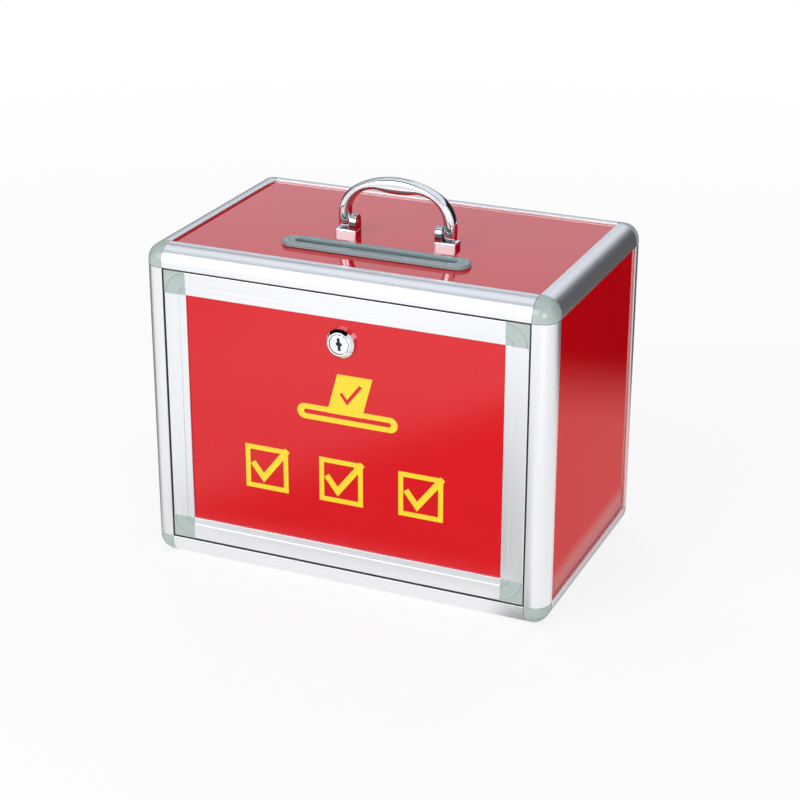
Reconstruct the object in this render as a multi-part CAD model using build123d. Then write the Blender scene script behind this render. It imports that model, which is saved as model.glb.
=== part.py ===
from build123d import *
import math
import os

# Ballot box: twelve extruded edge rails and eight moulded corners hold five flat panels. A framed
# door closes the front on two hinge pins at its foot, a cam lock holds it, and a folding carrying
# handle and a slot trim sit on the top. Millimetres, +Z up, front at -Y, origin under the middle.

# Case, outside
CASE_W = 300.0
CASE_D = 190.0
CASE_H = 235.0

# Edge rail section
RAIL = 15.0  # width of the rail on each face it borders
RAIL_R = 12.0  # radius of the rounded outer edge
SKIN = 1.4  # wall of the extrusion
LIP = 1.3  # inner lip that backs a panel
GROOVE = 6.0  # how deep a panel goes into its groove
PANEL_T = 3.0
PANEL_FIT = 0.15  # play of a panel on each face
PANEL_END = 0.3  # play of a panel at each edge
PRONG_FIT = 0.12  # play of a moulded prong in its rail
PRONG_L = 16.0

# Door
DOOR_GAP = 1.2  # between the door and the rails around it
DOOR_RECESS = 0.4  # door face behind the rail face
DOOR_T = 9.0
DOOR_RAIL = 16.5  # width of the door's own frame
DOOR_WALL = 1.2
DOOR_TUBE = 8.5  # width of the frame's hollow part
DOOR_STEP_W = 5.1  # width of the stepped strip beside the panel
DOOR_STEP = 0.5  # how far that strip lies behind the frame's face
DOOR_EDGE_R = 0.6
DOOR_BACK_R = 1.5
STOP_GAP = 0.4  # between the closed door and its stop
STOP_LIP = 3.0  # how far the stop reaches past the rail
DOOR_ARC_R = 13.0  # arc moulded in each door corner, about its inner point
DOOR_ARC_STEP = 0.3

# Hinge at the foot of the door
HINGE_UP = 3.5  # pin above the door's lower edge
HINGE_IN = 3.2  # pin behind the door's face
HINGE_PIN_R = 1.5
HINGE_PLAY = 0.05
HINGE_BORE_L = 8.3
SEAT_PLAY = 0.02  # play of a pressed or screwed piece in its hole

# Cam lock
LOCK_DROP = 33.3  # key axis below the door's upper edge
LOCK_CAP_R = 10.4
LOCK_FACE_R = 9.2
LOCK_CAP_H = 5.0
LOCK_BODY_R = 8.0
LOCK_FLAT = 14.0  # across the body's two flats
LOCK_BODY_L = 16.0  # behind the panel's face
PLUG_HEAD_R = 7.5
PLUG_HEAD_T = 1.6
PLUG_R = 5.5
PLUG_PLAY = 0.08
PLUG_SET_BACK = 0.3
KEY_H = 9.0
KEY_W = 1.7
KEY_DEPTH = 14.0
KEY_TILT = 6.0
KEY_LOBE_R = 1.0
WAFER_T = 0.9
WAFER_PITCH = 2.3
WAFER_COUNT = 4
WAFER_W = 6.0
CAM_SQUARE = 7.0
CAM_T = 2.0
CAM_W = 14.0
CAM_TIP_W = 9.0
CAM_REACH = 36.0
CAM_BEHIND_STOP = 0.6
CAM_SCREW_R = 2.0
CAM_SCREW_L = 8.0
CAM_HEAD_R = 4.2
CAM_HEAD_T = 2.6
CAM_WASHER_R = 5.6
CAM_WASHER_T = 0.8
NUT_AF = 21.0
NUT_T = 3.5

# Slot and its trim
SLOT_X = 4.0
SLOT_Y = -46.2
SLOT_L = 120.0
SLOT_W = 8.0
TRIM_END = 9.5  # trim past the slot at each end
TRIM_SIDE = 5.6  # and at each side
TRIM_T = 3.4
TRIM_R = 1.2
TRIM_BEVEL = 0.6
COLLAR_WALL = 2.2
COLLAR_DROP = 4.0  # collar below the panel
SNAP_COUNT = 6
SNAP_L = 7.0
SNAP_OUT = 1.0
SNAP_H = 2.2
RIB_COUNT = 13
RIB_PITCH = 3.4
RIB_W = 1.1
RIB_L = 2.4
RIB_H = 0.3

# Carrying handle
HANDLE_X = 5.6
HANDLE_Y = -12.0
HANDLE_OUT = 44.2  # half the bow's outside width
HANDLE_END_T = 9.1  # thickness of the bow at its pivots
HANDLE_RISE = 45.0  # top of the bow above the panel
HANDLE_DEEP = 9.2
GRIP_T = 12.0  # thickness of the bow at the grip
BOW_TOP_R = 62.0  # flat arc along the top of the bow
BOW_TOP_HALF = 30.0  # degrees of that arc to each side
BOW_UNDER_R = 18.9  # arcs under the bow's shoulders
BOW_UNDER_Z = 16.0  # height of their middles above the panel
BOW_EDGE_R = 2.8
PIVOT_UP = 9.8  # pivot above the panel
EAR_T = 5.2
EAR_R = 5.0
EAR_GAP = 0.3
FOOT_T = 4.5
FOOT_DEEP = 10.6
FOOT_EDGE_R = 0.8
PIVOT_PIN_R = 2.0
PIVOT_PLAY = 0.06
PIVOT_CAP = 1.0  # solid end of the bow outside the pin
SCREW_R = 1.95
SCREW_HEAD_R = 3.5
SCREW_HEAD_T = 2.0
SCREW_HOLE_R = 2.1
WASHER_R = 6.0
WASHER_T = 1.0
SMALL_NUT_AF = 7.0
SMALL_NUT_T = 3.2
SCREW_TAIL = 1.0

# Worked out from the values above
SLOT_IN_RAIL = PANEL_T + 2 * PANEL_FIT
TUBE = RAIL - GROOVE
LIP_IN = SKIN + SLOT_IN_RAIL + LIP
STOP_U = DOOR_RECESS + DOOR_T + STOP_GAP
STOP_BACK = STOP_U + SKIN
PANEL_OUT = SKIN + PANEL_FIT  # a case panel's face behind the rail's face
HALF_W, HALF_D = CASE_W / 2, CASE_D / 2
FRONT_Y = -HALF_D
DOOR_Y = FRONT_Y + DOOR_RECESS
DOOR_HALF_W = HALF_W - RAIL - DOOR_GAP
DOOR_LOW, DOOR_TOP = RAIL + DOOR_GAP, CASE_H - RAIL - DOOR_GAP
DOOR_MID_Z = (DOOR_LOW + DOOR_TOP) / 2
DOOR_LIP_OUT = DOOR_STEP + DOOR_WALL  # back of the lip in front of the door panel
DOOR_GROOVE_BACK = DOOR_LIP_OUT + SLOT_IN_RAIL
DOOR_PANEL_Y = DOOR_Y + DOOR_LIP_OUT + PANEL_FIT
HINGE_Y = DOOR_Y + HINGE_IN
HINGE_Z = DOOR_LOW + HINGE_UP
TOP_FACE = CASE_H - PANEL_OUT
TOP_UNDER = TOP_FACE - PANEL_T

LOCK_Z = DOOR_TOP - LOCK_DROP
TRIM_L, TRIM_W = SLOT_L + 2 * TRIM_END, SLOT_W + 2 * TRIM_SIDE

X, Y, Z = Vector(1, 0, 0), Vector(0, 1, 0), Vector(0, 0, 1)


def block(u0, u1, v0, v1):
    """A rectangle between two corners of a section."""
    return Pos((u0 + u1) / 2, (v0 + v1) / 2) * Rectangle(u1 - u0, v1 - v0)


def cuboid(x0, x1, y0, y1, z0, z1):
    """A box between two corners."""
    return Pos((x0 + x1) / 2, (y0 + y1) / 2, (z0 + z1) / 2) * Box(x1 - x0, y1 - y0, z1 - z0)


def rod(radius, length, start, direction):
    """A round bar from a start point along a direction."""
    plane = Plane(origin=start, z_dir=direction)
    return extrude(plane * Circle(radius), amount=length)


def outside_of_edge():
    """What the rounded outer edge takes off a square section."""
    return block(0, RAIL_R, 0, RAIL_R) - Pos(RAIL_R, RAIL_R) * Circle(RAIL_R)


def chamber(play=0.0):
    """The rail's closed hollow, or with some play the prong that fills it."""
    low, high = SKIN + play, TUBE - SKIN - play
    return block(low, high, low, high) & Pos(RAIL_R, RAIL_R) * Circle(RAIL_R - SKIN - play)


def edge_section():
    """Rail between two panels: u and v run inwards from the two faces."""
    section = block(0, RAIL, 0, RAIL) - outside_of_edge() - chamber()
    section -= block(SKIN, SKIN + SLOT_IN_RAIL, TUBE, RAIL)
    section -= block(TUBE, RAIL, SKIN, SKIN + SLOT_IN_RAIL)
    section -= block(LIP_IN, RAIL, TUBE, RAIL)
    section -= block(TUBE, RAIL, LIP_IN, RAIL)
    return section


def front_section():
    """Rail beside the door: u runs back from the front, v inwards from the other face."""
    section = block(0, RAIL, 0, TUBE) + block(0, STOP_BACK, 0, RAIL)
    section += block(STOP_U, STOP_BACK, RAIL - SKIN, RAIL + STOP_LIP)
    section -= outside_of_edge()
    section -= chamber()
    section -= block(TUBE, RAIL, SKIN, SKIN + SLOT_IN_RAIL)
    section -= block(STOP_BACK, RAIL, LIP_IN, TUBE)
    section -= block(SKIN, STOP_U, TUBE, RAIL - SKIN)
    return section


def along(section, middle, inward_u, inward_v, length):
    """Extrudes a section along the edge through a middle point."""
    run = inward_u.cross(inward_v)
    plane = Plane(origin=middle - run * (length / 2), x_dir=inward_u, z_dir=run)
    return extrude(plane * section, amount=length)


def rails():
    """The twelve edge rails by name."""
    edge, front = edge_section(), front_section()
    across, deep, tall = CASE_W - 2 * RAIL, CASE_D - 2 * RAIL, CASE_H - 2 * RAIL
    made = {}
    for level, z, into in (("top", CASE_H, -Z), ("bottom", 0, Z)):
        made[f"rail_{level}_back"] = along(edge, Vector(0, HALF_D, z), -Y, into, across)
        bar = along(front, Vector(0, FRONT_Y, z), Y, into, across)
        for side in (-1, 1):
            made_room = STOP_LIP + PANEL_FIT
            x = side * (HALF_W - RAIL - made_room / 2)
            lip_z = z + into.Z * (RAIL + STOP_LIP / 2)
            room = Pos(x, FRONT_Y + STOP_U + SKIN / 2, lip_z) * Box(made_room, 2 * SKIN, STOP_LIP)
            bar -= room
        made[f"rail_{level}_front"] = bar
        for side, x, inward in (("left", -HALF_W, X), ("right", HALF_W, -X)):
            made[f"rail_{level}_{side}"] = along(edge, Vector(x, 0, z), inward, into, deep)
    for side, x, inward in (("left", -HALF_W, X), ("right", HALF_W, -X)):
        middle = CASE_H / 2
        made[f"rail_{side}_back"] = along(edge, Vector(x, HALF_D, middle), -Y, inward, tall)
        post = along(front, Vector(x, FRONT_Y, middle), Y, inward, tall)
        start = Vector(x, HINGE_Y, HINGE_Z) + inward * TUBE
        post -= rod(HINGE_PIN_R + SEAT_PLAY, RAIL - TUBE + SKIN, start, inward)
        made[f"rail_{side}_front"] = post
    return made


def corner(front):
    """A moulded corner with a prong for each of its three rails, from its outer point inwards.
    a, b and c run along X, Y and Z. A front corner has no panel behind its front face."""
    body = cuboid(0, RAIL, 0, RAIL, 0, RAIL)
    sharp = [e for e in body.edges() if (e @ 0.5).length < RAIL * 0.75]
    body = fillet(sharp, RAIL_R)
    slot = (SKIN, SKIN + SLOT_IN_RAIL)
    free = (TUBE, RAIL)
    body -= cuboid(*slot, *free, *free)
    body -= cuboid(*free, *free, *slot)
    if not front:
        body -= cuboid(*free, *slot, *free)
    body -= cuboid(*free, *free, *free)
    prong = chamber(PRONG_FIT)
    for u, v in ((Y, Z), (Z, X), (X, Y)):
        body += along(prong, u.cross(v) * (RAIL - SKIN + (PRONG_L + SKIN) / 2), u, v, PRONG_L + SKIN)
    return body


def corners():
    """The eight corners by name."""
    made = {}
    for depth, y_sign in (("front", -1), ("back", 1)):
        piece = corner(depth == "front")
        for level, z_sign in (("bottom", -1), ("top", 1)):
            for side, x_sign in (("left", -1), ("right", 1)):
                placed = piece
                if x_sign > 0:
                    placed = mirror(placed, about=Plane.YZ)
                if y_sign > 0:
                    placed = mirror(placed, about=Plane.XZ)
                if z_sign > 0:
                    placed = mirror(placed, about=Plane.XY)
                z = CASE_H if z_sign > 0 else 0
                placed = Pos(x_sign * HALF_W, y_sign * HALF_D, z) * placed
                made[f"corner_{level}_{depth}_{side}"] = placed
    return made


def slot_outline(length, width):
    """A long hole's outline on the top, round at both ends."""
    return Pos(SLOT_X, SLOT_Y) * SlotOverall(length, width)


def collar_size():
    """Outside length and width of the trim's collar."""
    return SLOT_L + 2 * COLLAR_WALL, SLOT_W + 2 * COLLAR_WALL


def foot_screw_x(side):
    """X of the screw in a handle foot: the middle of the foot beside its ear."""
    inner = HANDLE_OUT - HANDLE_END_T - EAR_GAP
    return HANDLE_X + side * (inner + HANDLE_OUT) / 2


def panels():
    """The five flat panels of the case by name."""
    reach = TUBE + PANEL_END
    x, y = HALF_W - reach, HALF_D - reach
    low, high = reach, CASE_H - reach
    near, far = PANEL_OUT, PANEL_OUT + PANEL_T
    top = cuboid(-x, x, -y, y, TOP_UNDER, TOP_FACE)
    length, width = collar_size()
    hole = slot_outline(length + 2 * PANEL_END, width + 2 * PANEL_END)
    top -= extrude(Pos(0, 0, TOP_UNDER) * hole, amount=PANEL_T)
    for side in (-1, 1):
        top -= rod(SCREW_HOLE_R, PANEL_T, Vector(foot_screw_x(side), HANDLE_Y, TOP_UNDER), Z)
    return {
        "panel_top": top,
        "panel_bottom": cuboid(-x, x, -y, y, near, far),
        "panel_left": cuboid(-HALF_W + near, -HALF_W + far, -y, y, low, high),
        "panel_right": cuboid(HALF_W - far, HALF_W - near, -y, y, low, high),
        "panel_back": cuboid(-x, x, HALF_D - far, HALF_D - near, low, high),
    }


def slot_trim():
    """The trim round the ballot slot: a rounded flange and a collar with snap hooks."""
    flange = extrude(Pos(0, 0, TOP_FACE) * slot_outline(TRIM_L, TRIM_W), amount=TRIM_T)
    flange = fillet(flange.faces().sort_by(Axis.Z)[-1].edges(), TRIM_R)
    length, width = collar_size()
    foot = TOP_UNDER - COLLAR_DROP
    depth = TOP_FACE - foot
    trim = flange + extrude(Pos(0, 0, foot) * slot_outline(length, width), amount=depth)
    hook_z = TOP_UNDER - PANEL_FIT - SNAP_H
    for i in range(SNAP_COUNT // 2):
        x = SLOT_X + (i - (SNAP_COUNT / 2 - 1) / 2) * SLOT_L / (SNAP_COUNT / 2)
        for side in (-1, 1):
            wedge = Polyline((0, 0), (SNAP_OUT, SNAP_H), (0, SNAP_H), close=True)
            plane = Plane(
                origin=(x - side * SNAP_L / 2, SLOT_Y + side * width / 2, hook_z),
                x_dir=Y * side,
                z_dir=X * side,
            )
            trim += extrude(plane * make_face(wedge), amount=SNAP_L)
    trim -= extrude(Pos(0, 0, foot) * slot_outline(SLOT_L, SLOT_W), amount=depth + TRIM_T)
    rim = trim.faces().filter_by(Axis.Z).sort_by(Axis.Z)[-1]
    trim = chamfer(rim.inner_wires()[0].edges(), TRIM_BEVEL)
    rim_mid = (SLOT_W / 2 + TRIM_BEVEL + TRIM_W / 2 - TRIM_R) / 2
    for i in range(RIB_COUNT):
        x = SLOT_X + (i - (RIB_COUNT - 1) / 2) * RIB_PITCH
        rib = Pos(x, SLOT_Y - rim_mid, TOP_FACE + TRIM_T) * Box(RIB_W, RIB_L, 2 * RIB_H)
        trim += rib
    return trim


def door_section():
    """Door frame section: u runs inwards from the door's edge, v back from its face."""
    wall, lip_back = DOOR_WALL, DOOR_GROOVE_BACK + DOOR_WALL
    tube = block(0, DOOR_TUBE, 0, DOOR_T)
    for row, radius in ((0, DOOR_EDGE_R), (DOOR_T, DOOR_BACK_R)):
        tube = fillet([p for p in tube.vertices() if p.X < 0.01 and abs(p.Y - row) < 0.01], radius)
    section = tube + block(DOOR_TUBE - wall, DOOR_RAIL - DOOR_STEP_W, 0, DOOR_LIP_OUT)
    section += block(DOOR_RAIL - DOOR_STEP_W - wall, DOOR_RAIL, DOOR_STEP, DOOR_LIP_OUT)
    section += block(DOOR_TUBE - wall, DOOR_RAIL, DOOR_GROOVE_BACK, lip_back)
    section -= block(wall, DOOR_TUBE - wall, wall, DOOR_T - wall)
    return section


def door_rails():
    """The door frame's four rails by name."""
    section = door_section()
    across = 2 * (DOOR_HALF_W - DOOR_RAIL)
    tall = DOOR_TOP - DOOR_LOW - 2 * DOOR_RAIL
    return {
        "door_rail_top": along(section, Vector(0, DOOR_Y, DOOR_TOP), -Z, Y, across),
        "door_rail_bottom": along(section, Vector(0, DOOR_Y, DOOR_LOW), Z, Y, across),
        "door_rail_left": along(section, Vector(-DOOR_HALF_W, DOOR_Y, DOOR_MID_Z), X, Y, tall),
        "door_rail_right": along(section, Vector(DOOR_HALF_W, DOOR_Y, DOOR_MID_Z), -X, Y, tall),
    }


def door_corner():
    """A moulded door corner from its outer point: a along X, b along Y from the face, c along Z."""
    size = DOOR_RAIL
    body = cuboid(0, size, 0, DOOR_T, 0, size)
    for row, radius in ((0, DOOR_EDGE_R), (DOOR_T, DOOR_BACK_R)):
        level = [e for e in body.edges() if abs((e @ 0).Y - row) + abs((e @ 1).Y - row) < 0.01]
        body = fillet([e for e in level if min((e @ 0.5).X, (e @ 0.5).Z) < 0.01], radius)
    face = Plane(origin=(size, 0, size), x_dir=X, z_dir=-Y)
    low_rim = extrude(face * (Rectangle(2 * size, 2 * size) - Circle(DOOR_ARC_R)), amount=-DOOR_ARC_STEP)
    low_eye = extrude(face * Circle(DOOR_STEP_W), amount=-DOOR_STEP)
    body -= low_rim
    body -= low_eye
    free = (DOOR_TUBE, size)
    body -= cuboid(*free, DOOR_LIP_OUT, DOOR_GROOVE_BACK, *free)
    body -= cuboid(*free, DOOR_GROOVE_BACK + DOOR_WALL, DOOR_T, *free)
    low, high = DOOR_WALL + PRONG_FIT, DOOR_TUBE - DOOR_WALL - PRONG_FIT
    back = DOOR_T - DOOR_WALL - PRONG_FIT
    tip = size + PRONG_L
    body += cuboid(size - DOOR_WALL, tip, low, back, low, high)
    body += cuboid(low, high, low, back, size - DOOR_WALL, tip)
    return body


def door_corners():
    """The door's four corners by name; the lower two are bored for the hinge pins."""
    piece = door_corner()
    made = {}
    for level, z_sign in (("bottom", 1), ("top", -1)):
        for side, x_sign in (("left", 1), ("right", -1)):
            placed = piece
            if x_sign < 0:
                placed = mirror(placed, about=Plane.YZ)
            if z_sign < 0:
                placed = mirror(placed, about=Plane.XY)
            z = DOOR_LOW if z_sign > 0 else DOOR_TOP
            placed = Pos(-x_sign * DOOR_HALF_W, DOOR_Y, z) * placed
            if level == "bottom":
                start = Vector(-x_sign * DOOR_HALF_W, HINGE_Y, HINGE_Z)
                placed -= rod(HINGE_PIN_R + HINGE_PLAY, HINGE_BORE_L, start, X * x_sign)
            made[f"door_corner_{level}_{side}"] = placed
    return made


def hinge_pins():
    """Two pins from the side rails into the door's lower corners."""
    inner_wall = HALF_W - TUBE
    tip = DOOR_HALF_W - HINGE_BORE_L + PANEL_END
    pins = []
    for side in (-1, 1):
        pins.append(rod(HINGE_PIN_R, inner_wall - tip, Vector(side * inner_wall, HINGE_Y, HINGE_Z), X * -side))
    return Compound(pins)


def lock_plane(back):
    """Plane across the lock's axis, a distance behind the door panel's face, facing the front."""
    return Plane(origin=(0, DOOR_PANEL_Y + back, LOCK_Z), x_dir=X, z_dir=-Y)


def double_d(radius, flat):
    """A round outline with two upright flats."""
    return Circle(radius) & Rectangle(flat, 2 * radius)


def door_panel():
    """The door's panel with the lock's hole."""
    reach = DOOR_TUBE + PANEL_END
    x = DOOR_HALF_W - reach
    panel = cuboid(-x, x, DOOR_PANEL_Y, DOOR_PANEL_Y + PANEL_T, DOOR_LOW + reach, DOOR_TOP - reach)
    hole = double_d(LOCK_BODY_R + PANEL_FIT, LOCK_FLAT + 2 * PANEL_FIT)
    return panel - extrude(lock_plane(PANEL_T) * hole, amount=PANEL_T)


def lock_body():
    """The lock's cap and body, bored for the plug."""
    cap = loft([lock_plane(0) * Circle(LOCK_CAP_R), lock_plane(-LOCK_CAP_H) * Circle(LOCK_FACE_R)])
    body = cap + extrude(lock_plane(LOCK_BODY_L) * double_d(LOCK_BODY_R, LOCK_FLAT), amount=LOCK_BODY_L)
    body -= rod(PLUG_R + PLUG_PLAY, LOCK_BODY_L + LOCK_CAP_H, lock_plane(LOCK_BODY_L).origin, -Y)
    head_room = PLUG_HEAD_T + PLUG_SET_BACK
    start = lock_plane(head_room - LOCK_CAP_H).origin
    return body - rod(PLUG_HEAD_R + PLUG_PLAY, head_room, start, -Y)


def keyway():
    """The key's outline: an upright slot with a lobe on each side, leaning a little."""
    lobes = Pos(-KEY_W * 0.85, -KEY_W * 0.2) * Circle(KEY_LOBE_R)
    lobes += Pos(KEY_W * 0.85, -KEY_W * 0.6) * Circle(KEY_LOBE_R)
    return Rot(0, 0, KEY_TILT) * (RectangleRounded(KEY_W, KEY_H, KEY_W * 0.4) + lobes)


def wafer_backs():
    """How far each wafer of the lock lies behind the plug's face."""
    first = PLUG_HEAD_T + WAFER_PITCH
    return [first + i * WAFER_PITCH for i in range(WAFER_COUNT)]


def lock_plug():
    """The plug that the key turns: head, barrel with wafer slots, and a square end for the cam."""
    face = PLUG_SET_BACK - LOCK_CAP_H
    head_back = face + PLUG_HEAD_T
    plug = extrude(lock_plane(head_back) * Circle(PLUG_HEAD_R), amount=PLUG_HEAD_T)
    plug += extrude(lock_plane(LOCK_BODY_L + PLUG_PLAY) * Circle(PLUG_R), amount=LOCK_BODY_L + PLUG_PLAY - head_back)
    end = LOCK_BODY_L + PLUG_PLAY + CAM_T
    plug += extrude(lock_plane(end) * Rectangle(CAM_SQUARE, CAM_SQUARE), amount=CAM_T)
    plug -= extrude(lock_plane(face + KEY_DEPTH) * keyway(), amount=KEY_DEPTH)
    for back in wafer_backs():
        cut = Rectangle(WAFER_W + 2 * PLUG_PLAY, 2 * PLUG_R) & Circle(PLUG_R)
        plug -= extrude(lock_plane(face + back + WAFER_T + PLUG_PLAY) * cut, amount=WAFER_T + 2 * PLUG_PLAY)
    return plug - rod(CAM_SCREW_R + SEAT_PLAY, CAM_SCREW_L, lock_plane(end).origin, -Y)


def lock_wafers():
    """Thin wafers in the plug's slots, each with a window for the key."""
    face = PLUG_SET_BACK - LOCK_CAP_H
    made = []
    for i, back in enumerate(wafer_backs()):
        plate = Rectangle(WAFER_W, 2 * PLUG_R) & Circle(PLUG_R - PLUG_PLAY)
        window = Pos(0, (i % 2 - 0.5) * KEY_LOBE_R) * Rectangle(KEY_W * 2.2, KEY_H * 0.75)
        made.append(extrude(lock_plane(face + back + WAFER_T) * (plate - window), amount=WAFER_T))
    return Compound(made)


def lock_cam():
    """The cranked cam, drawn back to the side: turned up, its tip goes behind the top rail's stop."""
    back = LOCK_BODY_L + PLUG_PLAY
    tip_front = STOP_BACK + CAM_BEHIND_STOP - (DOOR_PANEL_Y - FRONT_Y)
    crank = LOCK_BODY_R + 2 * CAM_T
    bend = crank + (back - tip_front)
    profile = Polyline(
        (-CAM_W / 2, back),
        (crank, back),
        (bend, tip_front),
        (CAM_REACH, tip_front),
        (CAM_REACH, tip_front + CAM_T),
        (bend + CAM_T * 0.4, tip_front + CAM_T),
        (crank + CAM_T * 0.4, back + CAM_T),
        (-CAM_W / 2, back + CAM_T),
        close=True,
    )
    plane = Plane(origin=(0, DOOR_PANEL_Y, LOCK_Z - CAM_W / 2), x_dir=-X, z_dir=-Z)
    strip = extrude(plane * make_face(profile), amount=-CAM_W)
    outline = Circle(CAM_W / 2) + make_face(
        Polyline(
            (0, -CAM_W / 2),
            (0, CAM_W / 2),
            (-crank, CAM_W / 2),
            (-CAM_REACH, CAM_TIP_W / 2),
            (-CAM_REACH, -CAM_TIP_W / 2),
            (-crank, -CAM_W / 2),
            close=True,
        )
    )
    depth = CAM_T + back
    strip &= extrude(lock_plane(back + CAM_T) * outline, amount=depth)
    square = CAM_SQUARE + 2 * PLUG_PLAY
    return strip - extrude(lock_plane(back + CAM_T) * Rectangle(square, square), amount=CAM_T)


def lock_fasteners():
    """The lock's big nut, and the cam's washer and screw, by name."""
    nut = RegularPolygon(NUT_AF / 2, 6, major_radius=False) - double_d(LOCK_BODY_R + SEAT_PLAY, LOCK_FLAT + 2 * SEAT_PLAY)
    nut = extrude(lock_plane(PANEL_T + NUT_T) * nut, amount=NUT_T)
    end = LOCK_BODY_L + PLUG_PLAY + CAM_T
    washer = Circle(CAM_WASHER_R) - Circle(CAM_SCREW_R + PANEL_FIT)
    washer = extrude(lock_plane(end + CAM_WASHER_T) * washer, amount=CAM_WASHER_T)
    seat = end + CAM_WASHER_T
    head = extrude(lock_plane(seat + CAM_HEAD_T) * Circle(CAM_HEAD_R), amount=CAM_HEAD_T)
    head = fillet(head.faces().sort_by(Axis.Y)[-1].edges(), CAM_HEAD_T * 0.4)
    cross = Rectangle(CAM_HEAD_R, 0.9) + Rectangle(0.9, CAM_HEAD_R)
    head -= extrude(lock_plane(seat + CAM_HEAD_T) * cross, amount=CAM_HEAD_T / 2)
    shank = rod(CAM_SCREW_R, CAM_SCREW_L, lock_plane(seat).origin, -Y)
    return {"lock_nut": nut, "lock_cam_washer": washer, "lock_cam_screw": head + shank}


def bow_outline():
    """The bow seen from the front: an arch of tangent arcs whose underside swells at the grip."""
    low = PIVOT_UP - HANDLE_DEEP / 2
    out, inner = HANDLE_OUT, HANDLE_OUT - HANDLE_END_T
    lean = math.sin(math.radians(BOW_TOP_HALF))
    shoulder = (out - BOW_TOP_R * lean) / (1 - lean)
    top_z = HANDLE_RISE - BOW_TOP_R
    out_x = out - shoulder
    out_z = top_z + (BOW_TOP_R - shoulder) * math.cos(math.radians(BOW_TOP_HALF))
    in_x, grip_z = inner - BOW_UNDER_R, HANDLE_RISE - GRIP_T
    drop = grip_z - BOW_UNDER_Z
    swell = (in_x**2 + drop**2 - BOW_UNDER_R**2) / (2 * (BOW_UNDER_R - drop))
    turn = math.degrees(math.atan2(drop + swell, in_x))
    side = 90 - BOW_TOP_HALF
    outline = Curve() + [
        Line((out, low), (out, out_z)),
        CenterArc((out_x, out_z), shoulder, 0, side),
        CenterArc((0, top_z), BOW_TOP_R, side, 2 * BOW_TOP_HALF),
        CenterArc((-out_x, out_z), shoulder, 180 - side, side),
        Line((-out, out_z), (-out, low)),
        Line((-out, low), (-inner, low)),
        Line((-inner, low), (-inner, BOW_UNDER_Z)),
        CenterArc((-in_x, BOW_UNDER_Z), BOW_UNDER_R, 180, turn - 180),
        CenterArc((0, grip_z + swell), swell, 180 + turn, 180 - 2 * turn),
        CenterArc((in_x, BOW_UNDER_Z), BOW_UNDER_R, 180 - turn, turn - 180),
        Line((inner, BOW_UNDER_Z), (inner, low)),
        Line((inner, low), (out, low)),
    ]
    return make_face(outline)


def handle_bow():
    """The folding bow, round at both pivots and bored blind for the pins."""
    plane = Plane(origin=(HANDLE_X, HANDLE_Y + HANDLE_DEEP / 2, TOP_FACE), x_dir=X, z_dir=-Y)
    bow = extrude(plane * bow_outline(), amount=HANDLE_DEEP)
    axis_z = TOP_FACE + PIVOT_UP
    foot = axis_z - HANDLE_DEEP / 2
    sides = [f for f in bow.faces() if abs(f.normal_at().Y) > 0.99]
    bow = fillet([e for f in sides for e in f.edges() if (e @ 0.5).Z > foot + 0.1], BOW_EDGE_R)
    reach = HANDLE_OUT + 1
    deep = HANDLE_DEEP / 2
    keep = rod(deep, 2 * reach, Vector(HANDLE_X - reach, HANDLE_Y, axis_z), X)
    top = TOP_FACE + HANDLE_RISE + 1
    keep += cuboid(HANDLE_X - reach, HANDLE_X + reach, HANDLE_Y - deep, HANDLE_Y + deep, axis_z, top)
    bow &= keep
    inner = HANDLE_OUT - HANDLE_END_T
    for side in (-1, 1):
        start = Vector(HANDLE_X + side * inner, HANDLE_Y, axis_z)
        bow -= rod(PIVOT_PIN_R + PIVOT_PLAY, HANDLE_END_T - PIVOT_CAP, start, X * side)
    return bow


def handle_foot(side):
    """A handle foot: a plate on the panel with an upright ear at its inner end."""
    ear_out = HANDLE_OUT - HANDLE_END_T - EAR_GAP
    ear_in = ear_out - EAR_T
    x_in, x_ear, x_out = (HANDLE_X + side * v for v in (ear_in, ear_out, HANDLE_OUT + 1))
    plate = cuboid(
        min(x_in, x_out),
        max(x_in, x_out),
        HANDLE_Y - FOOT_DEEP / 2,
        HANDLE_Y + FOOT_DEEP / 2,
        TOP_FACE,
        TOP_FACE + FOOT_T,
    )
    plate = fillet(plate.edges().filter_by(Axis.Z), FOOT_EDGE_R)
    plate = fillet(plate.faces().sort_by(Axis.Z)[-1].edges(), FOOT_EDGE_R)
    axis = Vector(x_in, HANDLE_Y, TOP_FACE + PIVOT_UP)
    ear = rod(EAR_R, EAR_T, axis, X * side)
    ear += cuboid(
        min(x_in, x_ear),
        max(x_in, x_ear),
        HANDLE_Y - EAR_R,
        HANDLE_Y + EAR_R,
        TOP_FACE,
        TOP_FACE + PIVOT_UP,
    )
    foot = plate + ear
    foot -= rod(PIVOT_PIN_R + SEAT_PLAY, EAR_T, axis, X * side)
    top = Vector(foot_screw_x(side), HANDLE_Y, TOP_FACE + FOOT_T)
    foot -= rod(SCREW_HOLE_R, FOOT_T, top, -Z)
    sink = Plane(origin=top, z_dir=-Z)
    deeper = Plane(origin=top - Z * (SCREW_HEAD_T + SEAT_PLAY), z_dir=-Z)
    return foot - loft([sink * Circle(SCREW_HEAD_R + PANEL_FIT), deeper * Circle(SCREW_HOLE_R)])


def handle_pins():
    """The two pivot pins, flush with the ears and hidden in the bow."""
    inner = HANDLE_OUT - HANDLE_END_T - EAR_GAP - EAR_T
    length = EAR_T + EAR_GAP + HANDLE_END_T - PIVOT_CAP - EAR_GAP
    axis_z = TOP_FACE + PIVOT_UP
    return Compound(
        [rod(PIVOT_PIN_R, length, Vector(HANDLE_X + s * inner, HANDLE_Y, axis_z), X * s) for s in (-1, 1)]
    )


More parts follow.
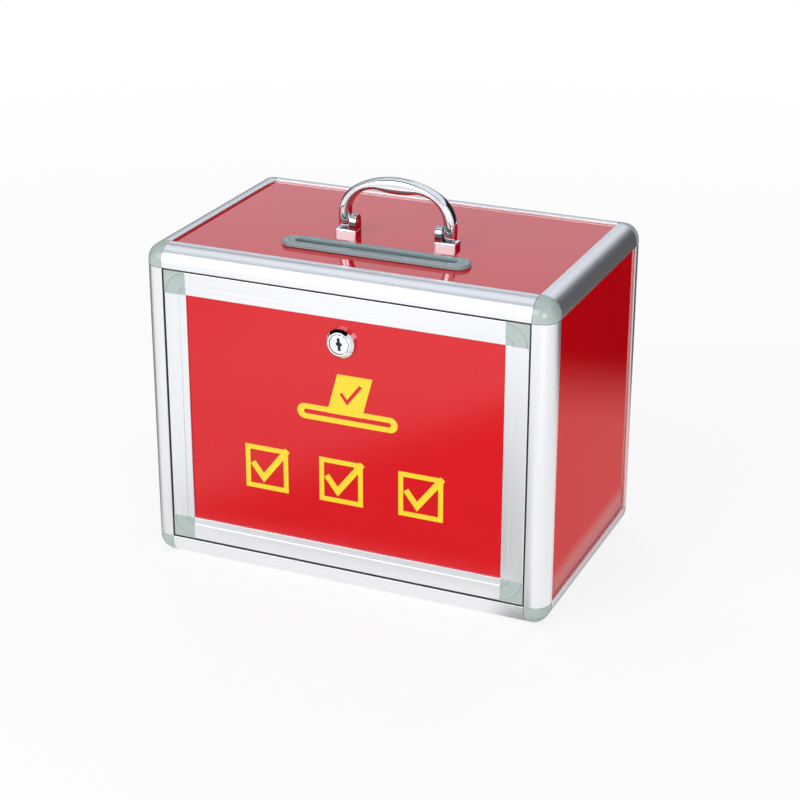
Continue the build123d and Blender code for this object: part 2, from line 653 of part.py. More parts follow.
def handle_fasteners():
    """The countersunk screw, washer and nut of each foot, by name."""
    screws, washers, nuts = [], [], []
    for side in (-1, 1):
        x = foot_screw_x(side)
        top = Vector(x, HANDLE_Y, TOP_FACE + FOOT_T)
        cone_end = top - Z * SCREW_HEAD_T
        head = loft(
            [Plane(origin=top, z_dir=-Z) * Circle(SCREW_HEAD_R), Plane(origin=cone_end, z_dir=-Z) * Circle(SCREW_R)]
        )
        cross = Rectangle(SCREW_HEAD_R, 0.8) + Rectangle(0.8, SCREW_HEAD_R)
        head -= extrude(Plane(origin=top, z_dir=-Z) * cross, amount=SCREW_HEAD_T / 2)
        washer_top = TOP_UNDER
        nut_top = washer_top - WASHER_T
        end = nut_top - SMALL_NUT_T - SCREW_TAIL
        screws.append(head + rod(SCREW_R, cone_end.Z - end, cone_end, -Z))
        washer = Pos(x, HANDLE_Y, nut_top) * (Circle(WASHER_R) - Circle(SCREW_HOLE_R))
        washers.append(extrude(washer, amount=WASHER_T))
        hexagon = RegularPolygon(SMALL_NUT_AF / 2, 6, major_radius=False) - Circle(SCREW_R + SEAT_PLAY)
        nuts.append(extrude(Pos(x, HANDLE_Y, nut_top - SMALL_NUT_T) * hexagon, amount=SMALL_NUT_T))
    return {
        "handle_screws": Compound(screws),
        "handle_washers": Compound(washers),
        "handle_nuts": Compound(nuts),
    }


def all_parts():
    """Every piece of the box by name."""
    made = {**rails(), **corners(), **panels()}
    made["slot_trim"] = slot_trim()
    made.update(door_rails())
    made.update(door_corners())
    made["door_panel"] = door_panel()
    made["hinge_pins"] = hinge_pins()
    made["lock_body"] = lock_body()
    made["lock_plug"] = lock_plug()
    made["lock_wafers"] = lock_wafers()
    made["lock_cam"] = lock_cam()
    made.update(lock_fasteners())
    made["handle_bow"] = handle_bow()
    made["handle_foot_left"] = handle_foot(-1)
    made["handle_foot_right"] = handle_foot(1)
    made["handle_pins"] = handle_pins()
    made.update(handle_fasteners())
    return made


def main():
    os.makedirs("parts", exist_ok=True)
    for name, shape in all_parts().items():
        export_step(shape, f"parts/{name}.step")
    print(f"front closes on {DOOR_GAP} mm gaps; hinge axis at y {HINGE_Y:.2f}, z {HINGE_Z:.2f}")


main()
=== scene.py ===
import math

import bmesh
import bpy
from bmesh.types import BMEdge, BMFace, BMVert
from bpy.props import FloatProperty, FloatVectorProperty, IntProperty, PointerProperty
from mathutils import Matrix, Vector


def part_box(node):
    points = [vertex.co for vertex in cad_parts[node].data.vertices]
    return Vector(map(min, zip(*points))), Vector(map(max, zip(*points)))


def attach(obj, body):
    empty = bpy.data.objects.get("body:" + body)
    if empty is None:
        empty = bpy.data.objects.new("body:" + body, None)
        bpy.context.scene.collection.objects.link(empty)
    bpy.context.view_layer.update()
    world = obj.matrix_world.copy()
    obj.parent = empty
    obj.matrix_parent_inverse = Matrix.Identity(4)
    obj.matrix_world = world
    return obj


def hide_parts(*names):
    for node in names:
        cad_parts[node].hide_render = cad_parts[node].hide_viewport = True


bl_info = {
    "name": "Ballot box",
    "version": (1, 0, 0),
    "blender": (4, 5, 0),
    "location": "3D View > Sidebar > Ballot box",
    "description": "Dresses the packed ballot box with its finished pieces, surfaces and studio",
    "category": "Object",
}

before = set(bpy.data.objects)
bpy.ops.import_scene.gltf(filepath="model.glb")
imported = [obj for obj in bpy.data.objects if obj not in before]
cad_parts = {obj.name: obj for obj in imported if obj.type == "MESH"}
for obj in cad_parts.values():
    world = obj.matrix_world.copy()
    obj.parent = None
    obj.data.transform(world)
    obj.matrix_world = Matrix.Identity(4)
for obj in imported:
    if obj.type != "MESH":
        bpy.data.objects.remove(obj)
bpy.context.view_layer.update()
MM = 0.001
# Points nearer than the first are one point, and a point nearer than the second to a plane is in it
SAME, NEAR = 0.001 * MM, 0.01 * MM
SIDES = (("left", -1), ("right", 1))
LEVELS = (("bottom", -1), ("top", 1))
DEPTHS = (("front", -1), ("back", 1))
X_AXIS, Y_AXIS, Z_AXIS = Vector((1, 0, 0)), Vector((0, 1, 0)), Vector((0, 0, 1))

# The case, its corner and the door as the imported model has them
CASE_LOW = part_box("corner_bottom_front_left")[0]
CASE_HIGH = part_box("corner_top_back_right")[1]
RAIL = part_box("rail_top_back")[1].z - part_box("rail_top_back")[0].z
DOOR_LOW, DOOR_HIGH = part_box("door_corner_bottom_left")[0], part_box("door_corner_top_right")[1]
DOOR_T = DOOR_HIGH.y - DOOR_LOW.y
DOOR_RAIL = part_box("door_rail_left")[1].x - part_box("door_rail_left")[0].x
DOOR_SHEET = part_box("door_panel")[0].y
TOP_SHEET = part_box("panel_top")[1].z

# Where the seams across the slot trim stand, and half of their width
SEAM_AT, SEAM = 55.0 * MM, 0.35 * MM
# The height above the top panel that the bow's arch is measured from
HUB = 12.0 * MM
# The texture that most finishes vary with
NOISE = "ShaderNodeTexNoise"


def linear(hex_colour):
    """An sRGB hex colour as linear red, green and blue."""
    parts = [int(hex_colour[i : i + 2], 16) / 255 for i in (1, 3, 5)]
    return tuple(c / 12.92 if c <= 0.04045 else ((c + 0.055) / 1.055) ** 2.4 for c in parts)


def colour(name, description, hex_colour):
    """A colour that a user can change."""
    return FloatVectorProperty(
        name=name, description=description, subtype="COLOR", size=3, min=0, max=1, default=linear(hex_colour)
    )


def length(name, description, millimetres):
    """A length that a user can change."""
    return FloatProperty(
        name=name, description=description, subtype="DISTANCE", unit="LENGTH", min=0, default=millimetres * MM
    )


class BallotBoxColours(bpy.types.PropertyGroup):
    aluminium: colour("Aluminium", "Anodised rails of the case and the door", "#F0F2F4")
    corner: colour("Corners", "Moulded corners of the case and the door", "#ACBAB6")
    trim: colour("Slot trim", "Moulded trim round the ballot slot", "#8E9FA2")
    sheet: colour("Panels", "Glossy sheet of the case and the door", "#D00010")
    mark: colour("Marks", "Ink of the marks on the door", "#F3D32B")
    chrome: colour("Chrome", "Handle, feet and lock", "#E4E6E9")
    zinc: colour("Zinc", "Screws, nuts, pins and cam", "#B9BCC1")
    brass: colour("Brass", "Wafers in the lock", "#C9A75A")
    # Painted shade: this near-black colour stands in for the shade in the gap round the door
    gap_shade: colour("Felt", "Lining of the gap round the door", "#08090C")
    # Painted shade: the shutter's near-black colour stands in for the shade inside the key slot
    black: colour("Blackened steel", "Dust shutter behind the key slot", "#0B0B0D")
    backdrop: colour("Backdrop", "Studio floor", "#FFFFFF")


class BallotBoxSizes(bpy.types.PropertyGroup):
    rail_round: length("Rail rounding", "Radius of the rails' outer edge", 12.0)
    skin: length("Rail skin", "Wall of the rails beside a panel", 1.4)
    lip_round: length("Lip rounding", "Radius on the rails' lips", 0.35)
    joint_round: length("Joint rounding", "Radius where a moulded corner meets a rail", 0.45)
    joint_gap: length("Joint gap", "Fine gap between a moulded corner and a rail of the case", 0.15)
    door_round: length("Door rounding", "Radius on the door's outer front edge", 0.6)
    door_step: length("Door step", "Depth of the stepped strip beside the door's panel", 0.5)
    door_strip: length("Door strip", "Width of that strip", 5.1)
    line_width: length("Line width", "Width of the fine lines in the door's frame", 0.4)
    cap_radius: length("Lock cap", "Radius of the lock's cap", 10.4)
    plug_radius: length("Lock plug", "Radius of the plug's face", 7.0)
    key_height: length("Key slot", "Height of the key slot", 9.0)
    key_width: length("Key slot width", "Width of the key slot", 2.1)
    trim_width: length("Trim width", "Width of the slot trim", 19.2)
    trim_height: length("Trim height", "Height of the slot trim above the panel", 3.4)
    slot_width: length("Ballot slot", "Width of the ballot slot", 8.0)
    slot_length: length("Ballot slot length", "Length of the ballot slot", 120.0)
    ink: length("Ink thickness", "Thickness of the marks on the door", 0.08)
    stroke: length("Stroke", "Width of the marks' lines", 3.6)
    round_steps: IntProperty(name="Rounding steps", description="Faces across a large rounding", default=16, min=4)


def add(tree, kind, inputs=None, **settings):
    """Adds a node with its settings; each input is a value or the socket that feeds it."""
    made = tree.nodes.new(kind)
    for name, value in settings.items():
        setattr(made, name, value)
    for name, value in (inputs or {}).items():
        if isinstance(value, bpy.types.NodeSocket):
            tree.links.new(value, made.inputs[name])
        else:
            made.inputs[name].default_value = value
    return made


def shade(base, amount):
    """A colour with its alpha, darker by a share of its brightness."""
    return (*(c * (1 - amount) for c in base), 1)


def start_finish(name, *patterns):
    """An empty material, its node tree, the object's coordinates and the patterns that lie on them.

    Each pattern is a kind of texture, the size of its grain in millimetres and its other inputs.
    """
    made = bpy.data.materials.new(name)
    made.use_nodes = True
    tree = made.node_tree
    tree.nodes.clear()
    place = add(tree, "ShaderNodeTexCoord").outputs["Object"]
    grains = [add(tree, kind, {"Vector": place, "Scale": 1 / (size * MM), **rest}) for kind, size, rest in patterns]
    return made, tree, place, *grains


def end_finish(made, tree, tone, dull, settings, bumps=()):
    """Joins a material's patterns to its surface.

    The tone is a pattern, a colour and how much darker the pattern's low end makes it. The dull is a pattern and the
    roughness at its two ends. Each bump is a pattern, a strength and a depth in millimetres.
    """
    pattern, base, darker = tone
    mixed = add(
        tree,
        "ShaderNodeMix",
        {"Factor": pattern.outputs[0], "A": shade(base, darker), "B": shade(base, 0)},
        data_type="RGBA",
    )
    pattern, low, high = dull
    rough = add(tree, "ShaderNodeMapRange", {"Value": pattern.outputs[0], "To Min": low, "To Max": high})
    inputs = {"Base Color": mixed.outputs["Result"], "Roughness": rough.outputs["Result"], **settings}
    under = {}
    for pattern, strength, depth in bumps:
        raised = {"Height": pattern.outputs[0], "Strength": strength, "Distance": depth * MM}
        under = {"Normal": add(tree, "ShaderNodeBump", {**raised, **under}).outputs[0]}
    shader = add(tree, "ShaderNodeBsdfPrincipled", {**inputs, **under})
    add(tree, "ShaderNodeOutputMaterial", {"Surface": shader.outputs[0]})
    return made


def anodised_aluminium(colours):
    """Extruded and satin anodised: die lines run along the bar, and the etched skin softens every reflection."""
    # The etch is finer than the render shows, drawn at 0.5 mm
    made, tree, _, etch = start_finish("anodised_aluminium_extruded", (NOISE, 0.5, {"Detail": 2}))
    uv = add(tree, "ShaderNodeUVMap", uv_map="along_and_across").outputs[0]
    # Real die lines are a tenth of a millimetre apart, drawn at 1.1 mm so that they show
    lines = add(tree, "ShaderNodeMapping", {"Vector": uv, "Scale": (1 / (160 * MM), 1 / (1.1 * MM), 1)}).outputs[0]
    die = add(tree, NOISE, {"Vector": lines, "Scale": 1, "Detail": 3}, noise_dimensions="2D")
    # The etched oxide skin scatters part of the light as a white coat does
    metal = {"Metallic": 0.9}
    bumps = ((die, 0.16, 0.03), (etch, 0.12, 0.02))
    return end_finish(made, tree, (die, colours.aluminium, 0.06), (die, 0.3, 0.38), metal, bumps)


def moulded_abs(name, base, grain_mm, roughness):
    """Injection moulded ABS from a spark-eroded mould: an even fine grain and a soft, broad highlight."""
    patterns = ((NOISE, grain_mm, {"Detail": 3}), (NOISE, 9, {"Detail": 2}))
    made, tree, _, grain, cloud = start_finish(name, *patterns)
    dull = (grain, roughness - 0.05, roughness + 0.07)
    return end_finish(made, tree, (cloud, base, 0.07), dull, {"IOR": 1.53}, [(grain, 0.25, 0.03)])


def gloss_sheet(colours):
    """Coated sheet with a high gloss film: mirror-like at a low angle, with the faint waviness of a flat sheet."""
    patterns = ((NOISE, 38, {"Detail": 1}), (NOISE, 2.2, {"Detail": 2}), (NOISE, 26, {"Detail": 5, "Roughness": 0.65}))
    made, tree, _, wave, peel, wipe = start_finish("gloss_film_on_sheet", *patterns)
    bumps = ((wave, 0.35, 0.12), (peel, 0.1, 0.004))
    return end_finish(made, tree, (wipe, colours.sheet, 0.05), (wipe, 0.035, 0.08), {"IOR": 1.5}, bumps)


def bright_chrome(colours):
    """Zinc casting, polished and chrome plated: a near mirror with slight unevenness left by the polishing wheel."""
    made, tree, _, wheel = start_finish("bright_chrome_on_zinc_casting", (NOISE, 5, {"Detail": 2}))
    bumps = [(wheel, 0.2, 0.05)]
    return end_finish(made, tree, (wheel, colours.chrome, 0.03), (wheel, 0.03, 0.07), {"Metallic": 1.0}, bumps)


def zinc_plate(colours):
    """Bright zinc plating on turned and stamped steel: greyish, with a fine crystalline speckle."""
    made, tree, _, speckle = start_finish("zinc_plated_steel", ("ShaderNodeTexVoronoi", 0.6, {}))
    return end_finish(made, tree, (speckle, colours.zinc, 0.15), (speckle, 0.26, 0.42), {"Metallic": 1.0})


def stamped_brass(colours):
    """Stamped brass strip: a dull yellow with rolling marks."""
    made, tree, _, roll = start_finish("stamped_brass", (NOISE, 0.4, {"Detail": 2}))
    return end_finish(made, tree, (roll, colours.brass, 0.12), (roll, 0.28, 0.4), {"Metallic": 1.0})


def screen_ink(colours):
    """Screen printed ink: opaque, a little thicker and duller than the film under it."""
    made, tree, _, weave = start_finish("screen_printed_ink", (NOISE, 0.7, {"Detail": 3}))
    bumps = [(weave, 0.15, 0.01)]
    return end_finish(made, tree, (weave, colours.mark, 0.08), (weave, 0.2, 0.32), {"IOR": 1.5}, bumps)


def painted_gap_shade(colours):
    """Near-black sheet that paints the shade in the gap round the door, made like felt: it swallows the light in the
    gap and has a dusty edge of loose fibres.
    """
    made, tree, _, fibres = start_finish("painted_gap_shade_sheet", (NOISE, 0.4, {"Detail": 4}))
    bumps = [(fibres, 0.4, 0.08)]
    return end_finish(made, tree, (fibres, colours.gap_shade, 0.4), (fibres, 0.85, 1.0), {"Sheen Weight": 0.3}, bumps)


def shutter_painted_shade(colours):
    """A dust shutter's near-black finish, painted shade for the dark inside the key slot, with a dull oily sheen."""
    made, tree, _, film = start_finish("shutter_painted_slot_shade", (NOISE, 1.5, {"Detail": 2}))
    return end_finish(made, tree, (film, colours.black, 0.3), (film, 0.5, 0.65), {})


# What makes each finish, and the finishes that are made already
MAKERS = {
    "anodised_aluminium": anodised_aluminium,
    "corner_plastic": lambda colours: moulded_abs("moulded_abs_light_grey", colours.corner, 0.8, 0.2),
    "trim_plastic": lambda colours: moulded_abs("moulded_abs_mid_grey", colours.trim, 0.7, 0.27),
    "red_panel": gloss_sheet,
    "chrome": bright_chrome,
    "zinc_steel": zinc_plate,
    "wafer_brass": stamped_brass,
    "mark_ink": screen_ink,
    "painted_gap_shade": painted_gap_shade,
    "shutter_painted_shade": shutter_painted_shade,
}
FINISHES = {}


def finish(name, context):
    """A finish by its name, made the first time it is asked for."""
    if name not in FINISHES:
        FINISHES[name] = MAKERS[name](context.scene.ballot_box_colours)
    return FINISHES[name]


def dress_node(name, slot, context):
    """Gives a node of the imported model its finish."""
    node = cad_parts[name]
    node.data.materials.clear()
    node.data.materials.append(finish(slot, context))


def set_piece(bm, name, body, slot, context, replaced=(), ink=None, sharp=32.0):
    """Turns a bmesh into a finished piece that rides on a body and stands for its nodes."""
    bmesh.ops.remove_doubles(bm, verts=bm.verts, dist=SAME)
    bmesh.ops.recalc_face_normals(bm, faces=bm.faces)
    for face in bm.faces:
        face.smooth = True
    for edge in bm.edges:
        edge.smooth = len(edge.link_faces) == 2 and edge.calc_face_angle(0) < math.radians(sharp)
    mesh = bpy.data.meshes.new(name)
    bm.to_mesh(mesh)
    bm.free()
    mesh.materials.append(finish(ink or slot, context))
    piece = bpy.data.objects.new(name, mesh)
    context.scene.collection.objects.link(piece)
    level = piece.modifiers.new("flat faces stay flat", "WEIGHTED_NORMAL")
    level.keep_sharp = True
    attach(piece, body)
    if replaced:
        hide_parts(*replaced)
    return piece


def bevel(bm, edges, radius, steps):
    """Rounds edges to a radius."""
    bmesh.ops.bevel(
        bm,
        geom=list(edges),
        offset=radius,
        offset_type="OFFSET",
        affect="EDGES",
        segments=steps,
        profile=0.5,
        material=-1,
        clamp_overlap=True,
    )


def only(kind, geom):
    """The vertices, the edges or the faces among some geometry."""
    return [g for g in geom if isinstance(g, kind)]


def edges_on(verts):
    """The edges of some vertices, each of them once."""
    return list(dict.fromkeys(e for v in verts for e in v.link_edges))


def edges_of(verts, test):
    """The edges of some vertices whose direction and middle pass a test."""
    return [
        e
        for e in edges_on(verts)
        if test((e.verts[1].co - e.verts[0].co).normalized(), (e.verts[0].co + e.verts[1].co) / 2)
    ]


def edges_at(bm, x, y):
    """The edges that run along Z through a point of a bar's section."""
    return [e for e in bm.edges if all(abs(v.co.x - x) + abs(v.co.y - y) < 2 * SAME for v in e.verts)]


def closed_loop(bm, points):
    """New vertices at some points, and the edges that join them in a ring."""
    verts = [bm.verts.new(p) for p in points]
    return verts, [bm.edges.new((verts[i - 1], verts[i])) for i in range(len(verts))]


def next_ring(bm, edges):
    """Extrudes a ring of edges on the spot, and gives the new ring's vertices and edges."""
    made = bmesh.ops.extrude_edge_only(bm, edges=edges)["geom"]
    return only(BMVert, made), only(BMEdge, made)


def cut_away(bm, point, normal):
    """Cuts off what lies past a plane, and gives the edges along the cut."""
    geom = bm.verts[:] + bm.edges[:] + bm.faces[:]
    made = bmesh.ops.bisect_plane(bm, geom=geom, plane_co=point, plane_no=normal, clear_outer=True)
    return only(BMEdge, made["geom_cut"])


def extrude_section(bm, section, run):
    """A bar of a section, in metres, centred along Z."""
    face = bm.faces.new([bm.verts.new((x, y, -run / 2)) for x, y in section])
    made = bmesh.ops.extrude_face_region(bm, geom=[face])["geom"]
    bmesh.ops.translate(bm, verts=only(BMVert, made), vec=(0, 0, run))


def unwrap_along(bm):
    """A UV map in metres: along the bar, then across its section."""
    layer = bm.loops.layers.uv.new("along_and_across")
    for face in bm.faces:
        for loop in face.loops:
            loop[layer].uv = (loop.vert.co.z, loop.vert.co.x + loop.vert.co.y)


def spot_in(low, high, ways):
    """A point of a box: its low side for -1, its middle for 0 and its high side for 1, along each axis."""
    return Vector([start + (end - start) * (way + 1) / 2 for start, end, way in zip(low, high, ways)])


def place(bm, origin, x_dir, y_dir):
    """Moves a bmesh from its own space to the frame. Its third direction runs from x_dir to y_dir."""
    z_dir = x_dir.cross(y_dir)
    turn = Matrix((x_dir, y_dir, z_dir)).transposed().to_4x4()
    bmesh.ops.transform(bm, matrix=Matrix.Translation(origin) @ turn, verts=bm.verts)


def cube_between(bm, low, high):
    """A box between two corners, with its vertices returned."""
    size = Vector(high) - Vector(low)
    middle = (Vector(high) + Vector(low)) / 2
    matrix = Matrix.Translation(middle) @ Matrix.Diagonal((*size, 1))
    return bmesh.ops.create_cube(bm, size=1, matrix=matrix)["verts"]


def case_rail(sizes, run, stop_run=0):
    """A rounded bar with a lipped groove for a panel.

    Its other side has a second groove or, where a stop's run is given, a return and the stop that the door closes on.
    """
    s, r = sizes.skin, RAIL
    tube, groove, lip = r - 6 * MM, s + 3.3 * MM, s + 4.6 * MM
    stop, stop_back, stop_top, stop_round = 9.8 * MM, 11.2 * MM, r + 3 * MM, 0.4 * MM
    side = [(r, 0), (r, s), (tube, s), (tube, groove), (r, groove), (r, lip)]
    other = [(stop_back, lip), (stop_back, r), (0, r)]
    if not stop_run:
        side += [(tube, lip), (tube, tube)]
        other = [(y, x) for x, y in reversed(side[:-1])]
    bm = bmesh.new()
    extrude_section(bm, [(0, 0), *side, *other], run)
    bevel(bm, edges_at(bm, 0, 0), sizes.rail_round, sizes.round_steps)
    for point in ((r, 0), (0, r)):
        bevel(bm, edges_at(bm, *point), sizes.lip_round, 3)
    if stop_run:
        extrude_section(bm, [(stop, r), (stop_back, r), (stop_back, stop_top), (stop, stop_top)], stop_run)
        for point in ((stop, stop_top), (stop_back, stop_top)):
            bevel(bm, edges_at(bm, *point), stop_round, 3)
    unwrap_along(bm)
    return bm


class BALLOTBOX_OT_case_rails(bpy.types.Operator):
    """Make the twelve extruded rails of the case"""

    bl_idname = "ballot_box.case_rails"
    bl_label = "Case rails"
    bl_options = {"REGISTER", "UNDO"}

    def execute(self, context):
        gap = context.scene.ballot_box_sizes.joint_gap
        across, deep, tall = (CASE_HIGH - CASE_LOW) - Vector((2 * (RAIL + gap),) * 3)
        # The upright stops run past the others' ends and stay just clear of the corners
        stop_room, stop_play = 2 * 3.15 * MM, 0.1 * MM
        for level, up in LEVELS:
            into = -up * Z_AXIS
            self.rail(context, f"{level}_back", (0, 1, up), -Y_AXIS, into, across)
            self.rail(context, f"{level}_front", (0, -1, up), Y_AXIS, into, across, across - stop_room)
            for side, out in SIDES:
                self.rail(context, f"{level}_{side}", (out, 0, up), -out * X_AXIS, into, deep)
        for side, out in SIDES:
            into = -out * X_AXIS
            self.rail(context, f"{side}_back", (out, 1, 0), -Y_AXIS, into, tall)
            self.rail(context, f"{side}_front", (out, -1, 0), Y_AXIS, into, tall, tall - stop_play)
        return {"FINISHED"}

    def rail(self, context, name, ways, x_dir, y_dir, run, stop_run=0):
        """Makes a rail and puts it on an edge of the case."""
        bm = case_rail(context.scene.ballot_box_sizes, run, stop_run)
        place(bm, spot_in(CASE_LOW, CASE_HIGH, ways), x_dir, y_dir)
        set_piece(bm, f"case_rail_{name}", "case", "anodised_aluminium", context, [f"rail_{name}"])


class BALLOTBOX_OT_case_corners(bpy.types.Operator):
    """Make the eight moulded corners of the case"""

    bl_idname = "ballot_box.case_corners"
    bl_label = "Case corners"
    bl_options = {"REGISTER", "UNDO"}

    def execute(self, context):
        sizes = context.scene.ballot_box_sizes
        for level, up in LEVELS:
            for depth, back in DEPTHS:
                for side, out in SIDES:
                    bm = bmesh.new()
                    verts = cube_between(bm, (0, 0, 0), (RAIL, RAIL, RAIL))
                    outer = edges_of(verts, lambda run, mid: mid.length < 0.75 * RAIL)
                    bevel(bm, outer, sizes.rail_round, sizes.round_steps)
                    bevel(bm, [e for e in bm.edges if self.on_joint(e)], sizes.joint_round, 2)
                    spot = spot_in(CASE_LOW, CASE_HIGH, (out, back, up))
                    turn = Matrix.Translation(spot) @ Matrix.Diagonal((-out, -back, -up, 1))
                    bmesh.ops.transform(bm, matrix=turn, verts=bm.verts)
                    name = f"corner_{level}_{depth}_{side}"
                    set_piece(bm, f"case_{name}", "case", "corner_plastic", context, [name])
        return {"FINISHED"}

    def on_joint(self, edge):
        """True for an edge round one of the three faces that meet the rails, and not between two of them."""
        return sum(all(abs(v.co[axis] - RAIL) < NEAR for v in edge.verts) for axis in range(3)) == 1


class BALLOTBOX_OT_panels(bpy.types.Operator):
    """Give the case's and the door's panels their glossy finish"""

    bl_idname = "ballot_box.panels"
    bl_label = "Panels"
    bl_options = {"REGISTER", "UNDO"}

    def execute(self, context):
        for name in ("panel_top", "panel_bottom", "panel_left", "panel_right", "panel_back", "door_panel"):
            dress_node(name, "red_panel", context)
        return {"FINISHED"}


def door_rail(sizes, run):
    """A rail of the door's frame: two levels, with a fine line pressed beside the step."""
    w, t, line = DOOR_RAIL, DOOR_T, sizes.line_width
    step_at, step = w - sizes.door_strip, sizes.door_step
    lip, groove, back, tube = 1.7 * MM, 5.0 * MM, 6.2 * MM, 8.5 * MM
    back_round, step_round, lip_round = 1.5 * MM, 0.12 * MM, 0.4 * MM
    first = step_at - 1.1 * MM
    face = [(0, 0), (first, 0), (first + line / 2, 0.15 * line), (first + line, 0)]
    face += [(step_at, 0), (step_at, step), (w, step)]
    behind = [(w, lip), (tube, lip), (tube, groove), (w, groove), (w, back), (tube, back), (tube, t), (0, t)]
    bm = bmesh.new()
    extrude_section(bm, face + behind, run)
    bevel(bm, edges_at(bm, 0, 0), sizes.door_round, 3)
    bevel(bm, edges_at(bm, 0, t), back_round, 4)
    bevel(bm, edges_at(bm, step_at, 0), step_round, 2)
    bevel(bm, edges_at(bm, w, step), lip_round, 3)
    unwrap_along(bm)
    return bm


class BALLOTBOX_OT_door_rails(bpy.types.Operator):
    """Make the four extruded rails of the door's frame"""

    bl_idname = "ballot_box.door_rails"
    bl_label = "Door rails"
    bl_options = {"REGISTER", "UNDO"}

    def execute(self, context):
        across = DOOR_HIGH.x - DOOR_LOW.x - 2 * DOOR_RAIL
        tall = DOOR_HIGH.z - DOOR_LOW.z - 2 * DOOR_RAIL
        for name, ways, inward, run in (
            ("top", (0, -1, 1), -Z_AXIS, across),
            ("bottom", (0, -1, -1), Z_AXIS, across),
            ("left", (-1, -1, 0), X_AXIS, tall),
            ("right", (1, -1, 0), -X_AXIS, tall),
        ):
            bm = door_rail(context.scene.ballot_box_sizes, run)
            place(bm, spot_in(DOOR_LOW, DOOR_HIGH, ways), inward, Y_AXIS)
            set_piece(bm, f"door_frame_{name}", "door", "anodised_aluminium", context, [f"door_rail_{name}"])
        return {"FINISHED"}


class BALLOTBOX_OT_door_corners(bpy.types.Operator):
    """Make the door's four moulded corners with the arcs pressed into them"""

    bl_idname = "ballot_box.door_corners"
    bl_label = "Door corners"
    bl_options = {"REGISTER", "UNDO"}

    def execute(self, context):
        for level, up in LEVELS:
            for side, out in SIDES:
                bm = self.corner(context.scene.ballot_box_sizes)
                spot = spot_in(DOOR_LOW, DOOR_HIGH, (out, -1, up))
                turn = Matrix.Translation(spot) @ Matrix.Diagonal((-out, 1, -up, 1))
                bmesh.ops.transform(bm, matrix=turn, verts=bm.verts)
                name = f"corner_{level}_{side}"
                set_piece(bm, f"door_frame_{name}", "door", "corner_plastic", context, [f"door_{name}"])
        return {"FINISHED"}

    def corner(self, sizes):
        """The relief is spun about the door corner's inner point, cut square and given its thickness."""
        w, line, face, steps = DOOR_RAIL, sizes.line_width, 0.1 * MM, 32
        eye, ring, arc = 4.0 * MM, 5.6 * MM, 15.2 * MM
        relief = [(0, sizes.door_step), (eye, sizes.door_step), (eye + 0.6 * line, face)]
        for r in (ring, arc):
            relief += [(r - 0.7 * line, face), (r, face + line), (r + 0.7 * line, face)]
        relief += [(1.5 * w, face)]
        bm = bmesh.new()
        verts = [bm.verts.new((w - r, depth, w)) for r, depth in relief]
        edges = [bm.edges.new(pair) for pair in zip(verts, verts[1:])]
        bmesh.ops.spin(
            bm, geom=verts + edges, cent=(w, 0, w), axis=Y_AXIS, angle=-math.pi / 2, steps=steps, use_duplicate=False
        )
        bmesh.ops.remove_doubles(bm, verts=bm.verts, dist=SAME)
        for normal in (-X_AXIS, -Z_AXIS):
            cut_away(bm, (0, 0, 0), normal)
        rim, _ = next_ring(bm, [e for e in bm.edges if e.is_boundary])
        for v in rim:
            v.co.y = DOOR_T
        bmesh.ops.holes_fill(bm, edges=[e for e in bm.edges if e.is_boundary], sides=0)
        return bm


class BALLOTBOX_OT_gap_shade_sheet(bpy.types.Operator):
    """Put thin near-black sheets on the case's rails round the door, as painted shade in the gap"""

    bl_idname = "ballot_box.gap_lining"
    # The gap's near-black sheets are painted shade
    bl_label = "Gap lining"
    bl_options = {"REGISTER", "UNDO"}

    def execute(self, context):
        low, high = CASE_LOW + Vector((RAIL,) * 3), CASE_HIGH - Vector((RAIL,) * 3)
        front, back, thick, play = CASE_LOW.y + 0.25 * MM, CASE_LOW.y + 7.5 * MM, 0.3 * MM, 0.35 * MM
        soft_edge = 0.06 * MM
        bm = bmesh.new()
        for first, last in (
            ((low.x, front, low.z), (low.x + thick, back, high.z)),
            ((high.x - thick, front, low.z), (high.x, back, high.z)),
            ((low.x + play, front, high.z - thick), (high.x - play, back, high.z)),
            ((low.x + play, front, low.z), (high.x - play, back, low.z + thick)),
        ):
            bevel(bm, edges_on(cube_between(bm, first, last)), soft_edge, 2)
        # Painted shade: thin near-black sheets darken the gap round the door
        set_piece(bm, "door_gap_shade_sheet", "case", "corner_plastic", context, ink="painted_gap_shade")
        return {"FINISHED"}


